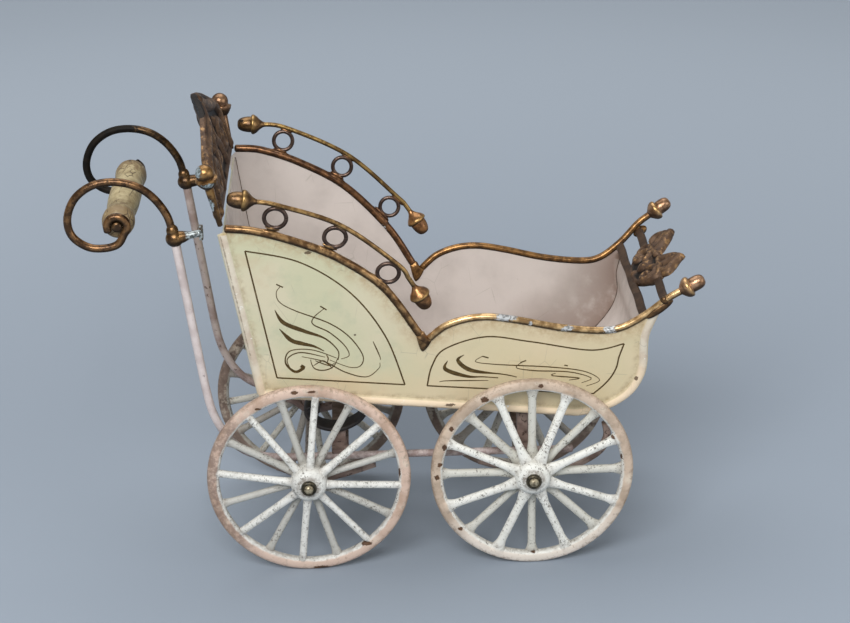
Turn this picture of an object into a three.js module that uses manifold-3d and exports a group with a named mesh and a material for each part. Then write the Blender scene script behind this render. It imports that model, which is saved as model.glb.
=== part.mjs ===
// Doll carriage: a tin tub with flared sides on a wire chassis with four spoked wheels.
// Millimetres. +X is the foot end, +Y the carriage's left, +Z up, and the ground is z = 0.
// Stations along X are measured from the rear axle, and heights from the ground, until the last
// lines centre the whole model.

import * as THREE from 'three';
import { mergeVertices } from 'three/addons/utils/BufferGeometryUtils.js';
import Module from 'manifold-3d';

const wasm = await Module();
wasm.setup();

// Clearances
const SEAT_GAP = 0.3; // between soldered pieces that meet
const RUNNING_GAP = 0.35; // between a turning piece and what it turns on

// Wheels and axles
const AXLE_HEIGHT = 30;
const WHEEL_RADIUS = 30;
const WHEELBASE = 65.85;
const RIM_DEPTH = 3.6; // radial
const RIM_WIDTH = 3.2;
const SPOKES_PER_ROW = 8;
const SPOKE_THICKNESS = 2;
const SPOKE_FLARE = 1.7; // how much wider a spoke is where it meets the rim
const HUB_RADIUS = 5.4;
const HUB_INSET = 4; // hub length inward of the rim plane
const HUB_REACH = 6.3; // hub length outward of the rim plane
const AXLE_RADIUS = 1.5;
const NUT_RADIUS = 2.5;
const NUT_HEIGHT = 1.7;

// Chassis
const ROD_HALF_TRACK = 24.8; // centre plane to a handle rod
const ROD_RADIUS = 1.1;
const ROD_TOP_RADIUS = 1.3;
const RAIL_RISE = 4.3; // axle centre up to the rod's straight run below the tub
const RAIL_HEIGHT = AXLE_HEIGHT + RAIL_RISE;
const ROD_BEND = [[-33, 51.1], [-30.9, 35.4], [-29.1, 22.6], [-27.6, 15.5], [-25.1, 9.7],
  [-21.8, 5.1], [-17.6, 2], [-12.5, 0.5]]; // heights above the straight run
const RAIL_REAR_X = -7;
const RAIL_FRONT_X = 78;
const HANGER_WIDTH = 3;
const RIM_HALF_TRACK = ROD_HALF_TRACK + HANGER_WIDTH / 2 + SEAT_GAP + HUB_INSET; // to the middle of a rim
const HANGER_THICKNESS = 2.1;
const HANGER_DROP = 3.4; // axle centre to the middle of the hanger below it
const HANGER_REACH = 19.5; // axle to the end of a hanger's front arm
const HANGER_BACK_REACH = { rear: 9.5, front: 15.5 }; // axle to the end of its rear arm
// x, share of the way up to the tub
const HANGER_CURL = [[81.6, 0.199], [86.5, 0.377], [88.6, 0.597], [88, 0.827]];
const AXLE_BOSS_WALL = 1.1;
const BOLSTER_LENGTH = 5; // along the carriage; each bar lies across both rails
const BOLSTER_THICKNESS = 1.2;
const SPRING_WIDTH = 6.5;
const SPRING_THICKNESS = 1.1;
const SPRING_INSET = 6.3; // handle rod to the middle of a spring or post
// A spring's stations along X, with the share of the way up from the bolster to the tub's floor
const SPRING_RISE = [[18.2, 0.755], [16.9, 0.574], [14.2, 0.387]]; // from the floor down
const SPRING_LOW = [9.4, 0.258];
const SPRING_CURL = [[3.9, 0.302], [0.2, 0.481], [-0.3, 0.641], [2, 0.685], [3.2, 0.584]];
const POST_SIZE = 3.4;

// Tub
const BODY_HALF_WIDTH = 25.1; // at the lowest point of the tub's floor line
const BODY_DATUM_HEIGHT = 55.5; // the height at which that half width is measured
const FLARE = THREE.MathUtils.degToRad(9.37); // lean of each side away from upright
const SHEET = 0.7;
const BEAD_WIDTH = 2.8;
const BEAD_PROUD = 0.8;
const FLOOR_INSET = 1.7; // floor sheet above the side's lower edge
const REAR_BOTTOM = [-14.1, 54.3];
const REAR_TOP = [-22.7, 108.3];
const BOTTOM_FRONT = [80, 44.4];
const FRONT_EDGE = [[86.5, 45.7], [91.8, 48.1], [96.3, 52.1], [98.9, 57.2], [99.8, 62], [99.7, 67],
  [100.2, 72]];
const FRONT_TOP = [102.6, 78.6];

// Rails, gallery and finials
const ARCH_RADIUS = 1.15;
const FOOT_RAIL_RADIUS = 1.05;
const FOOT_RAIL = [[36.4, 72.9], [40.8, 76.6], [47, 78.8], [53.7, 79.2], [62, 77.8], [74, 75], [85.6, 73.6],
  [92, 74.5]]; // each side has its own end
const JUNCTION_TIP = [34, 68.4];
const JUNCTION = [[32.3, 73.7], [34.3, 74.9], [35.4, 73.4], [36.8, 72], JUNCTION_TIP]; // fills the rails' V
const RING_WIRE = 1.15;
const GALLERY_RADIUS = 0.7;
const GALLERY_HEAD = [-12.2, 118.5];
// The two sides are bent by hand and differ
const RIGHT_ARCH = [[-20.1, 110.2], [-12.1, 109.1], [-0.6, 105.3], [10.9, 99.8], [23.4, 89.8],
  [33.1, 74.5]];
const LEFT_ARCH = [[-20.2, 111.4], [-12.6, 110.7], [-0.8, 106.5], [12.9, 98.8], [25.8, 85.8],
  [33.1, 74.5]];
// Each ring's station on the arch rail and its outer radius
const RIGHT_RINGS = [[-8.1, 3.5], [7.4, 3.5], [21.6, 2.8]];
const LEFT_RINGS = [[-7.3, 3.05], [9.6, 3.05], [22.9, 3.05]];
const RIGHT_GALLERY_TAIL = [[30.4, 92.8], [32.3, 89.4]]; // past the last ring
const LEFT_GALLERY_TAIL = [[31.5, 92.4], [33.3, 89.8]];
const RIGHT_FOOT_END = [[98.5, 78.4], [104.6, 83.6], [108.5, 86.1]]; // the foot rail's rising end
const LEFT_FOOT_END = [[98.4, 79], [103.9, 84.7], [107.7, 87.5]];
const FINIAL_LENGTH = 7.5;
const FINIAL_RIDGE_RADIUS = 3.1;
const FINIAL_NUT_RADIUS = 2.4;

// Crest across the head end
const CREST_LEAN = THREE.MathUtils.degToRad(16.6);
const CREST_THICKNESS = 1.8;
const CREST_HEIGHT = 28.4;
const POST_RADIUS = 1.45;
const POST_FOOT = [-21.8, 111.5];
const POST_TOP = [-24.1, 122.7];
const POST_BALL_RADIUS = 2.75;

// Guard across the foot end
const GUARD_SETBACK = 0.75; // from the first station of the foot rail's rising end back to the lower bar
const GUARD_SLOPE = THREE.MathUtils.degToRad(36.3);
const GUARD_THICKNESS = 1.5;
const GUARD_BAR_WIDTH = 2.2;
const GUARD_LOWER_BAR = 0.2;
const GUARD_UPPER_BAR = 7.8; // slope distance from the lower bar
// One half of the medallion and of the leaf pair: across, and up the guard's slope
const MEDALLION = [[0, 0.4], [6, 1.2], [11, 4.4], [13, 7.8], [11.6, 10.6], [7, 11.2], [0, 11.8]];
const LEAF = [[1.2, 9.5], [1.5, 12.2], [4.2, 14.4], [7.1, 16.7], [10.1, 17.8], [12.2, 16.2], [14.3, 14],
  [15.6, 11.8], [14.2, 9.6]];
const LEAF_SHIFT = 1.6; // the pair is soldered on off centre, to the left

// Handle
const CLAMP = [-35.5, 104.3];
const CLAMP_RADIUS = 2.45;
const SCROLL_RADIUS = 1.15;
const GRIP_AXIS = [-51.5, 108.3];
const SCROLL = [[-37.3, 111.4], [-40.8, 116.7], [-45.5, 120.2], [-51.5, 121.6], [-57.6, 120.7],
  [-62.7, 117], [-65.2, 111.2], [-64.3, 105.9], [-60.2, 102.5], [-55.6, 101.9], [-51.6, 103]];
const EYE_RADIUS = 2.9; // wire centre to the grip's axis
const EYE_START = -48; // degrees
const EYE_STEP = 36;
const RIGHT_EYE_STEPS = 8; // the left scroll stops under the grip's end
const LEFT_EYE_STEPS = 4;
const GRIP_RADIUS = 4.6;
const GRIP_NECK_RADIUS = 4;
const GRIP_BULB_RADIUS = 4.7;
const SPINDLE_RADIUS = 0.9;
const ARM_RADIUS = 1.1;
const ARM_RISE = 1.5; // from the clamp's centre up to the arm's foot
const BROKEN_ARM_REACH = 7.6; // clamp centre to the foot of the arm that came loose
const CLAMP_FOOT_HEIGHT = 4;
const CLAMP_FOOT_WIDTH = 2.4;
const CLAMP_FOOT_THICKNESS = 1.2;

const SIDES = [
  {
    name: 'right',
    sign: -1,
    arch: RIGHT_ARCH,
    rings: RIGHT_RINGS,
    tail: RIGHT_GALLERY_TAIL,
    footEnd: RIGHT_FOOT_END,
    eyeSteps: RIGHT_EYE_STEPS,
  },
  {
    name: 'left',
    sign: 1,
    arch: LEFT_ARCH,
    rings: LEFT_RINGS,
    tail: LEFT_GALLERY_TAIL,
    footEnd: LEFT_FOOT_END,
    eyeSteps: LEFT_EYE_STEPS,
  },
];

// Finishes
function finish(color, roughness, metalness) {
  return new THREE.MeshStandardMaterial({ color, roughness, metalness });
}

const creamPaint = () => finish(0xd8d2ac, 0.5, 0);
const liningPaint = () => finish(0xcbbcb6, 0.6, 0);
const bronzePaint = () => finish(0x9a6f3c, 0.4, 0.7);
const darkBronze = () => finish(0x6b513a, 0.5, 0.6);
const wheelPaint = () => finish(0xe4dccf, 0.55, 0);
const chassisPaint = () => finish(0xd9c4bc, 0.55, 0);
const blackPaint = () => finish(0x1c1c20, 0.5, 0.2);
const steel = () => finish(0xa6a39c, 0.35, 0.9);
const woodPaint = () => finish(0xd9cd9a, 0.5, 0);

// Solids
function weld(geometry) {
  const bare = new THREE.BufferGeometry();
  bare.setAttribute('position', geometry.attributes.position.clone());
  bare.setIndex(geometry.index ? geometry.index.clone() : null);
  const merged = mergeVertices(bare, 1e-4);
  const point = merged.attributes.position.array;
  const faces = [];
  for (let i = 0; i < merged.index.count; i += 3) {
    const [a, b, c] = [0, 1, 2].map((k) => merged.index.array[i + k]);
    if (a !== b && b !== c && c !== a) faces.push([a, b, c]);
  }
  const corner = (k) => new THREE.Vector3(point[3 * k], point[3 * k + 1], point[3 * k + 2]);
  let volume = 0;
  for (const [a, b, c] of faces) volume += corner(a).dot(corner(b).cross(corner(c)));
  const outward = volume > 0 ? faces : faces.map(([a, b, c]) => [a, c, b]);
  return { point, faces: outward };
}

function fromParts(point, faces) {
  const geometry = new THREE.BufferGeometry();
  geometry.setAttribute('position', new THREE.Float32BufferAttribute(point, 3));
  geometry.setIndex(faces.flat());
  geometry.computeVertexNormals();
  return geometry;
}

function toManifold(geometry) {
  const { point, faces } = weld(geometry);
  const triVerts = new Uint32Array(faces.flat());
  const vertProperties = new Float32Array(point);
  return new wasm.Manifold(new wasm.Mesh({ numProp: 3, vertProperties, triVerts }));
}

function fromManifold(solid) {
  const { vertProperties, triVerts, numProp } = solid.getMesh();
  const point = [];
  for (let i = 0; i < vertProperties.length; i += numProp) point.push(...vertProperties.slice(i, i + 3));
  return fromParts(point, [Array.from(triVerts)]);
}

function join(...geometries) {
  return fromManifold(geometries.map(toManifold).reduce((all, next) => all.add(next)));
}

function common(a, b) {
  return fromManifold(toManifold(a).intersect(toManifold(b)));
}

function cut(geometry, ...tools) {
  const left = tools.map(toManifold).reduce((all, next) => all.subtract(next), toManifold(geometry));
  return fromManifold(left);
}

// A solid swept through rings of points: each ring has the same count, and the ends are capped
function loft(rings) {
  const size = rings[0].length;
  const point = rings.flat().flatMap((v) => [v.x, v.y, v.z]);
  const faces = [];
  for (let r = 0; r + 1 < rings.length; r += 1) {
    for (let k = 0; k < size; k += 1) {
      const a = r * size + k;
      const b = r * size + ((k + 1) % size);
      faces.push([a, b, b + size], [a, b + size, a + size]);
    }
  }
  const last = (rings.length - 1) * size;
  for (let k = 1; k + 1 < size; k += 1) faces.push([0, k + 1, k], [last, last + k, last + k + 1]);
  const welded = weld(fromParts(point, faces));
  return fromParts(Array.from(welded.point), welded.faces);
}

// A bar along a curve in an upright plane: across points along Y, and section(t) gives [across, rise] pairs
function bar(points, y, section) {
  const rings = points.map((p, i) => {
    const before = points[Math.max(i - 1, 0)];
    const after = points[Math.min(i + 1, points.length - 1)];
    const along = new THREE.Vector2().subVectors(after, before).normalize();
    return section(i / (points.length - 1)).map(
      ([across, rise]) => new THREE.Vector3(p.x - rise * along.y, y + across, p.y + rise * along.x));
  });
  return loft(rings);
}

function roundSection(radius, sides = 8) {
  return Array.from({ length: sides }, (_, k) => {
    const angle = ((k + 0.5) / sides) * 2 * Math.PI;
    return [radius * Math.cos(angle), radius * Math.sin(angle)];
  });
}

function flatSection(width, thickness) {
  const w = width / 2;
  const t = thickness / 2;
  return [[w, t], [-w, t], [-w, -t], [w, -t]];
}

function smooth(pairs, steps) {
  return new THREE.SplineCurve(pairs.map(([a, b]) => new THREE.Vector2(a, b))).getPoints(steps);
}

// The same path moved sideways, to its left when distance is positive, with mitred corners
function offsetPath(points, distance) {
  return points.map((p, i) => {
    const before = points[Math.max(i - 1, 0)];
    const after = points[Math.min(i + 1, points.length - 1)];
    const lead = new THREE.Vector2().subVectors(p, before).normalize();
    const trail = new THREE.Vector2().subVectors(after, p).normalize();
    if (i === 0) lead.copy(trail);
    if (i === points.length - 1) trail.copy(lead);
    const middle = new THREE.Vector2().addVectors(lead, trail).normalize();
    const reach = distance / Math.max(middle.dot(lead), 0.5);
    return new THREE.Vector2(p.x - middle.y * reach, p.y + middle.x * reach);
  });
}

// A flat plate drawn in the XZ plane, centred on y = 0
function plate(points, thickness, holes = []) {
  const shape = new THREE.Shape(points);
  shape.holes = holes.map((hole) => new THREE.Path(hole));
  const geometry = new THREE.ExtrudeGeometry(shape, { depth: thickness, bevelEnabled: false });
  return geometry.rotateX(Math.PI / 2).translate(0, thickness / 2, 0);
}

function lathe(profile, segments) {
  return new THREE.LatheGeometry(profile.map(([r, h]) => new THREE.Vector2(r, h)), segments);
}

// Turns a solid whose axis is +Y so that it points along a direction, from a base point
function stand(geometry, base, direction) {
  const up = new THREE.Vector3(0, 1, 0);
  const turn = new THREE.Quaternion().setFromUnitVectors(up, direction.clone().normalize());
  return geometry.applyQuaternion(turn).translate(base.x, base.y, base.z);
}

const group = new THREE.Group();

function piece(name, geometry, material, parent = group) {
  const { point, faces } = weld(geometry);
  const mesh = new THREE.Mesh(fromParts(Array.from(point), faces), material);
  mesh.name = name;
  parent.add(mesh);
  return mesh;
}

// The plane of one side, leaning outward: local X is forward and local Z runs up the panel
const sideRise = (z) => (z - BODY_DATUM_HEIGHT) / Math.cos(FLARE);
const halfWidthAt = (z) => BODY_HALF_WIDTH + (z - BODY_DATUM_HEIGHT) * Math.tan(FLARE);
const onSide = (points) => points.map((p) => new THREE.Vector2(p.x, sideRise(p.y)));
const pair = ([a, b]) => new THREE.Vector2(a, b);

function sidePlane(sign) {
  const frame = new THREE.Group();
  frame.position.set(0, sign * BODY_HALF_WIDTH, BODY_DATUM_HEIGHT);
  frame.rotation.x = -sign * FLARE;
  group.add(frame);
  return frame;
}

// Tub outline, from the rear top corner down, forward and up to the foot rail
function edgePath() {
  const front = smooth([BOTTOM_FRONT, ...FRONT_EDGE, FRONT_TOP], 14);
  return [pair(REAR_TOP), pair(REAR_BOTTOM), ...front];
}

const archPath = (side) => smooth(side.arch, 14);
const footRailPath = (side) => smooth([...FOOT_RAIL, ...side.footEnd], 22);

// A point a given distance outside the arch rail's centre line, square to it at a station
function besideArch(side, station, distance) {
  const fine = smooth(side.arch, 200);
  const shifted = offsetPath(fine, distance);
  return shifted[fine.findIndex((p) => p.x >= station)];
}

const ringDistance = (radius) => ARCH_RADIUS + SEAT_GAP + radius;
const galleryDistance = (radius) => ringDistance(radius) + radius + SEAT_GAP + GALLERY_RADIUS;

function galleryPath(side) {
  const over = side.rings.map(([x, radius]) => besideArch(side, x, galleryDistance(radius)).toArray());
  return smooth([GALLERY_HEAD, ...over, ...side.tail], 15);
}

function sidePanel(side) {
  const edge = edgePath();
  const top = offsetPath(archPath(side), -(ARCH_RADIUS + SEAT_GAP));
  const belowFootRail = offsetPath(footRailPath(side), -(FOOT_RAIL_RADIUS + SEAT_GAP));
  const foot = belowFootRail.filter((p) => p.x < FRONT_TOP[0]);
  const notch = pair(JUNCTION_TIP).add(new THREE.Vector2(0, -SEAT_GAP));
  const outline = onSide([...edge, ...[...top, notch, ...foot].reverse()]);
  const inner = offsetPath(edge, BEAD_WIDTH);
  const band = plate(onSide([...edge, ...inner.reverse()]), SHEET + BEAD_PROUD);
  const bead = common(band, plate(outline, 2 * (SHEET + BEAD_PROUD)));
  bead.translate(0, (side.sign * BEAD_PROUD) / 2, 0);
  return join(plate(outline, SHEET), bead);
}

// A bent sheet between the two sides, as wide as they stand at each height
function sheetBetween(path) {
  const lower = offsetPath(path, -SHEET / 2);
  const upper = offsetPath(path, SHEET / 2);
  const edge = (p, sign) => {
    const reach = halfWidthAt(p.y) - (SHEET / 2) / Math.cos(FLARE) - SEAT_GAP;
    return new THREE.Vector3(p.x, sign * reach, p.y);
  };
  const corners = (i) => [edge(lower[i], -1), edge(lower[i], 1), edge(upper[i], 1), edge(upper[i], -1)];
  return loft(path.map((_, i) => corners(i)));
}

function floorPath() {
  const inside = offsetPath(edgePath(), FLOOR_INSET);
  const rear = inside[1].clone().add(new THREE.Vector2(SHEET + SEAT_GAP, 0));
  const run = inside.slice(2).filter((p) => p.y < guardFoot().y - GUARD_BAR_WIDTH);
  return [rear, ...run];
}

function backPath() {
  const inside = offsetPath(edgePath(), FLOOR_INSET);
  return [inside[1], inside[0]];
}

function finial(nut = FINIAL_NUT_RADIUS) {
  const cup = FINIAL_LENGTH * 0.4;
  const seat = cup * 1.2;
  const profile = [[0, 0], [nut * 0.5, 0], [nut * 0.87, cup * 0.45], [nut, cup * 0.8],
    [FINIAL_RIDGE_RADIUS, cup * 0.95], [FINIAL_RIDGE_RADIUS, cup * 1.12], [nut * 0.94, seat]];
  const height = FINIAL_LENGTH - seat;
  for (const [r, h] of [[1, 0.35], [0.82, 0.66], [0.45, 0.92], [0, 1]]) {
    profile.push([nut * r, seat + height * h]);
  }
  return lathe(profile, 10);
}

// A finial past the end of a rod: points are the rod's last two stations
function finialOn(before, end) {
  const along = new THREE.Vector3(end.x - before.x, 0, end.y - before.y).normalize();
  const base = new THREE.Vector3(end.x, 0, end.y).addScaledVector(along, SEAT_GAP);
  return stand(finial(), base, along);
}

function buildSide(side) {
  const { name } = side;
  const frame = sidePlane(side.sign);
  piece(`${name}_side_panel`, sidePanel(side), creamPaint(), frame);

  const arch = onSide(archPath(side));
  piece(`${name}_arch_rail`, bar(arch, 0, () => roundSection(ARCH_RADIUS)), bronzePaint(), frame);
  const foot = onSide(footRailPath(side));
  piece(`${name}_foot_rail`, bar(foot, 0, () => roundSection(FOOT_RAIL_RADIUS)), bronzePaint(), frame);
  piece(`${name}_foot_rail_finial`, finialOn(foot.at(-2), foot.at(-1)), bronzePaint(), frame);
  piece(`${name}_rail_junction`, plate(onSide(JUNCTION.map(pair)), 2 * ARCH_RADIUS), bronzePaint(), frame);

  const gallery = onSide(galleryPath(side));
  const rod = bar(gallery, 0, () => roundSection(GALLERY_RADIUS, 6));
  piece(`${name}_gallery_rod`, rod, bronzePaint(), frame);
  piece(`${name}_gallery_head_finial`, finialOn(gallery[1], gallery[0]), bronzePaint(), frame);
  piece(`${name}_gallery_foot_finial`, finialOn(gallery.at(-2), gallery.at(-1)), bronzePaint(), frame);
  side.rings.forEach(([x, radius], i) => {
    const [centre] = onSide([besideArch(side, x, ringDistance(radius))]);
    piece(`${name}_gallery_ring_${i + 1}`, ring(centre, radius), bronzePaint(), frame);
  });
  piece(`${name}_crest_post`, crestPost(), bronzePaint(), frame);
}

function ring(centre, outer) {
  const wire = RING_WIRE / 2;
  const torus = new THREE.TorusGeometry(outer - wire, wire, 5, 18);
  return torus.rotateX(Math.PI / 2).translate(centre.x, 0, centre.y);
}

function crestPost() {
  const [foot, top] = onSide([pair(POST_FOOT), pair(POST_TOP)]);
  const along = new THREE.Vector3(top.x - foot.x, 0, top.y - foot.y);
  const height = along.length() + FINIAL_LENGTH * 0.07;
  const stem = lathe([[0, 0], [POST_RADIUS * 0.85, 0], [POST_RADIUS, height], [0, height]], 10);
  const ball = finial(POST_BALL_RADIUS).translate(0, along.length(), 0);
  return stand(join(stem, ball), new THREE.Vector3(foot.x, 0, foot.y), along);
}

// Crest: drawn face on, across and up its own lean
function crest() {
  const foot = halfWidthAt(POST_FOOT[1]) - POST_RADIUS - SEAT_GAP;
  const half = [[1, 0], [1.018, 0.246], [1.012, 0.444], [0.93, 0.56], [0.8, 0.665], [0.62, 0.74],
    [0.454, 0.815], [0.24, 0.91], [0.12, 0.98], [0, 1]].map(([y, h]) => [y * foot, h * CREST_HEIGHT]);
  const right = half.slice(0, -1).map(([y, h]) => new THREE.Vector2(y, h));
  const left = half.map(([y, h]) => new THREE.Vector2(-y, h)).reverse();
  const base = new THREE.Vector3(POST_FOOT[0] - CREST_THICKNESS * 0.2, 0, POST_FOOT[1]);
  const flat = plate([...right, ...left], CREST_THICKNESS);
  return flat.rotateZ(Math.PI / 2).rotateY(-CREST_LEAN).translate(base.x, base.y, base.z);
}

// Where the guard's lower bar crosses the foot rails
function guardFoot() {
  const along = new THREE.Vector2(Math.cos(GUARD_SLOPE), Math.sin(GUARD_SLOPE));
  return pair(RIGHT_FOOT_END[0]).sub(along.multiplyScalar(GUARD_SETBACK));
}

// Guard: drawn face on, across the carriage and up the slope of the foot rails
function guard() {
  const foot = guardFoot();
  const end = (s) => halfWidthAt(foot.y + s * Math.sin(GUARD_SLOPE)) - FOOT_RAIL_RADIUS - SEAT_GAP;
  const strip = (s) => [[end(s), s - GUARD_BAR_WIDTH / 2], [end(s), s + GUARD_BAR_WIDTH / 2],
    [-end(s), s + GUARD_BAR_WIDTH / 2], [-end(s), s - GUARD_BAR_WIDTH / 2]];
  const otherHalf = MEDALLION.slice(0, -1).reverse().map(([y, s]) => [-y, s]);
  const medallion = smooth([...MEDALLION, ...otherHalf], 28).slice(1);
  const leaf = (sign) => smooth(LEAF.map(([y, s]) => [LEAF_SHIFT + sign * y, s]), 14);
  const bars = [GUARD_LOWER_BAR, GUARD_UPPER_BAR].map((s) => plate(strip(s).map(pair), GUARD_THICKNESS));
  const leaves = [leaf(1), leaf(-1)].map((outline) => plate(outline, GUARD_THICKNESS));
  const flat = join(...bars, plate(medallion, GUARD_THICKNESS * 1.4), ...leaves);
  const lean = Math.PI / 2 - GUARD_SLOPE;
  return flat.rotateZ(Math.PI / 2).rotateY(lean).translate(foot.x, 0, foot.y);
}

function buildTub() {
  piece('floor_pan', sheetBetween(floorPath()), liningPaint());
  piece('back_panel', sheetBetween(backPath()), creamPaint());
  piece('crest', crest(), darkBronze());
  piece('foot_guard', guard(), darkBronze());
}

// One wheel about local Y, with its face towards +Y
function wheel() {
  const inner = WHEEL_RADIUS - RIM_DEPTH;
  const half = RIM_WIDTH / 2;
  const edge = WHEEL_RADIUS - RIM_DEPTH * 0.27;
  const curb = inner + RIM_DEPTH * 0.18;
  const rim = lathe([[inner, -half * 0.69], [curb, -half], [edge, -half], [WHEEL_RADIUS, -half / 2],
    [WHEEL_RADIUS, half / 2], [edge, half], [curb, half], [inner, half * 0.69], [inner, -half * 0.69]], 36);
  const bore = AXLE_RADIUS + RUNNING_GAP;
  const hub = lathe([[bore, -HUB_INSET], [HUB_RADIUS * 0.7, -HUB_INSET],
    [HUB_RADIUS * 0.8, -HUB_INSET * 0.38], [HUB_RADIUS, HUB_REACH * 0.16],
    [HUB_RADIUS, HUB_REACH * 0.57], [HUB_RADIUS * 0.82, HUB_REACH * 0.86],
    [HUB_RADIUS * 0.55, HUB_REACH], [bore, HUB_REACH], [bore, -HUB_INSET]], 16);
  const solids = [rim, hub];
  for (let k = 0; k < 2 * SPOKES_PER_ROW; k += 1) {
    const outer = k % 2 === 0;
    const hubOffset = HUB_REACH * (outer ? 0.54 : 0.03);
    const rimOffset = RIM_WIDTH * (outer ? 0.11 : -0.11);
    solids.push(spoke((k * Math.PI) / SPOKES_PER_ROW, hubOffset, rimOffset));
  }
  return join(...solids);
}

function spoke(angle, hubOffset, rimOffset) {
  const half = SPOKE_THICKNESS / 2;
  const end = WHEEL_RADIUS - RIM_DEPTH / 2;
  const stations = [[HUB_RADIUS * 0.55, 1.2], [WHEEL_RADIUS - RIM_DEPTH * 1.9, 0.95], [end, SPOKE_FLARE]];
  const rings = stations.map(([radius, swell]) => {
    const offset = THREE.MathUtils.mapLinear(radius, HUB_RADIUS * 0.55, end, hubOffset, rimOffset);
    return roundSection(1, 4).map(([a, b]) => new THREE.Vector3(
      radius, offset + a * half * Math.min(swell, 1.25), b * half * swell));
  });
  return loft(rings).rotateY(angle);
}

function buildWheels() {
  const spots = [{ name: 'rear', x: 0, turn: -6 }, { name: 'front', x: WHEELBASE, turn: 22.5 }];
  const shape = wheel();
  for (const { name, x, turn } of spots) {
    for (const side of SIDES) {
      const mesh = piece(`${side.name}_${name}_wheel`, shape, wheelPaint());
      mesh.position.set(x, side.sign * RIM_HALF_TRACK, AXLE_HEIGHT);
      mesh.rotation.x = side.sign > 0 ? 0 : Math.PI;
      mesh.rotateY(THREE.MathUtils.degToRad(turn));
      const nut = piece(`${side.name}_${name}_hub_nut`, hubNut(), steel());
      nut.position.set(x, side.sign * (RIM_HALF_TRACK + HUB_REACH + RUNNING_GAP), AXLE_HEIGHT);
      nut.rotation.x = mesh.rotation.x;
    }
    const reach = RIM_HALF_TRACK + HUB_REACH + RUNNING_GAP + NUT_HEIGHT / 2 - SEAT_GAP;
    const axle = new THREE.CylinderGeometry(AXLE_RADIUS, AXLE_RADIUS, 2 * reach, 16);
    piece(`${name}_axle`, axle.translate(x, 0, AXLE_HEIGHT), steel());
  }
}

function hubNut() {
  const bore = AXLE_RADIUS + SEAT_GAP;
  return lathe([[bore, 0], [NUT_RADIUS, 0], [NUT_RADIUS, NUT_HEIGHT * 0.6], [NUT_RADIUS * 0.7, NUT_HEIGHT],
    [0, NUT_HEIGHT], [0, NUT_HEIGHT / 2], [bore, NUT_HEIGHT / 2], [bore, 0]], 14);
}

// Where a wire that runs to the next point leaves the clamp's ball
function besideClamp(next) {
  const centre = pair(CLAMP);
  const out = new THREE.Vector2().subVectors(pair(next), centre).setLength(CLAMP_RADIUS + SEAT_GAP);
  return centre.add(out).toArray();
}

// Handle rod: down from the clamp, bending forward into the chassis rail
function handleRod() {
  const bend = ROD_BEND.map(([x, rise]) => [x, RAIL_HEIGHT + rise]);
  const down = smooth([besideClamp(bend[0]), ...bend, [RAIL_REAR_X, RAIL_HEIGHT]], 20);
  const points = [...down, new THREE.Vector2(RAIL_FRONT_X, RAIL_HEIGHT)];
  const radiusAt = (t) => THREE.MathUtils.lerp(ROD_TOP_RADIUS, ROD_RADIUS, Math.min(1, t * 1.3));
  return (sign) => bar(points, sign * ROD_HALF_TRACK, (t) => roundSection(radiusAt(t)));
}

// Hanger: a bowed strap below the rail with a boss that holds the axle
function hanger(x, backReach, frontArm, sign) {
  const low = AXLE_HEIGHT - HANGER_DROP;
  const high = RAIL_HEIGHT - ROD_RADIUS - SEAT_GAP - HANGER_THICKNESS * 0.6;
  const rise = [x - backReach * 0.55, low + HANGER_DROP * 0.9];
  const rear = [[x - backReach, high], rise, [x, low]];
  const points = smooth([...rear, ...frontArm(low, high)], 18);
  const strap = bar(points, sign * ROD_HALF_TRACK, () => flatSection(HANGER_WIDTH, HANGER_THICKNESS));
  const inner = AXLE_RADIUS + SEAT_GAP;
  const outer = inner + AXLE_BOSS_WALL;
  const boss = new THREE.CylinderGeometry(outer, outer, HANGER_WIDTH, 16);
  const bore = new THREE.CylinderGeometry(inner, inner, 2 * HANGER_WIDTH, 16);
  for (const round of [boss, bore]) round.translate(x, sign * ROD_HALF_TRACK, AXLE_HEIGHT);
  return cut(join(strap, boss), bore);
}

function bolster(x, postTop) {
  const bottom = RAIL_HEIGHT + ROD_RADIUS + SEAT_GAP;
  const width = 2 * (ROD_HALF_TRACK + ROD_RADIUS);
  const slab = new THREE.BoxGeometry(BOLSTER_LENGTH, width, BOLSTER_THICKNESS);
  slab.translate(x, 0, bottom + BOLSTER_THICKNESS / 2);
  const posts = SIDES.map(({ sign }) => {
    const height = postTop - bottom;
    const post = new THREE.BoxGeometry(POST_SIZE, POST_SIZE, height);
    return post.translate(x, sign * (ROD_HALF_TRACK - SPRING_INSET), bottom + height / 2);
  });
  return join(slab, ...posts);
}

// C-spring: a flat strap from the floor, down round a bowl and up into a curled eye
function cSpring(sign) {
  const top = SPRING_RISE[0][0] + SPRING_THICKNESS;
  const bowl = [...SPRING_RISE, SPRING_LOW, ...SPRING_CURL].map(aboveBolster);
  const points = smooth([[top, floorUnderAt(top) - SEAT_GAP], ...bowl], 26);
  const section = () => flatSection(SPRING_WIDTH, SPRING_THICKNESS);
  return bar(points, sign * (ROD_HALF_TRACK - SPRING_INSET), section);
}

function aboveBolster([x, share]) {
  const slab = RAIL_HEIGHT + ROD_RADIUS + SEAT_GAP + BOLSTER_THICKNESS;
  return [x, THREE.MathUtils.lerp(slab, floorUnderAt(x), share)];
}

function floorUnderAt(x) {
  const [rear, front] = [floorPath()[0], floorPath()[1]];
  return THREE.MathUtils.mapLinear(x, rear.x, front.x, rear.y, front.y) - SHEET / 2;
}

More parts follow.
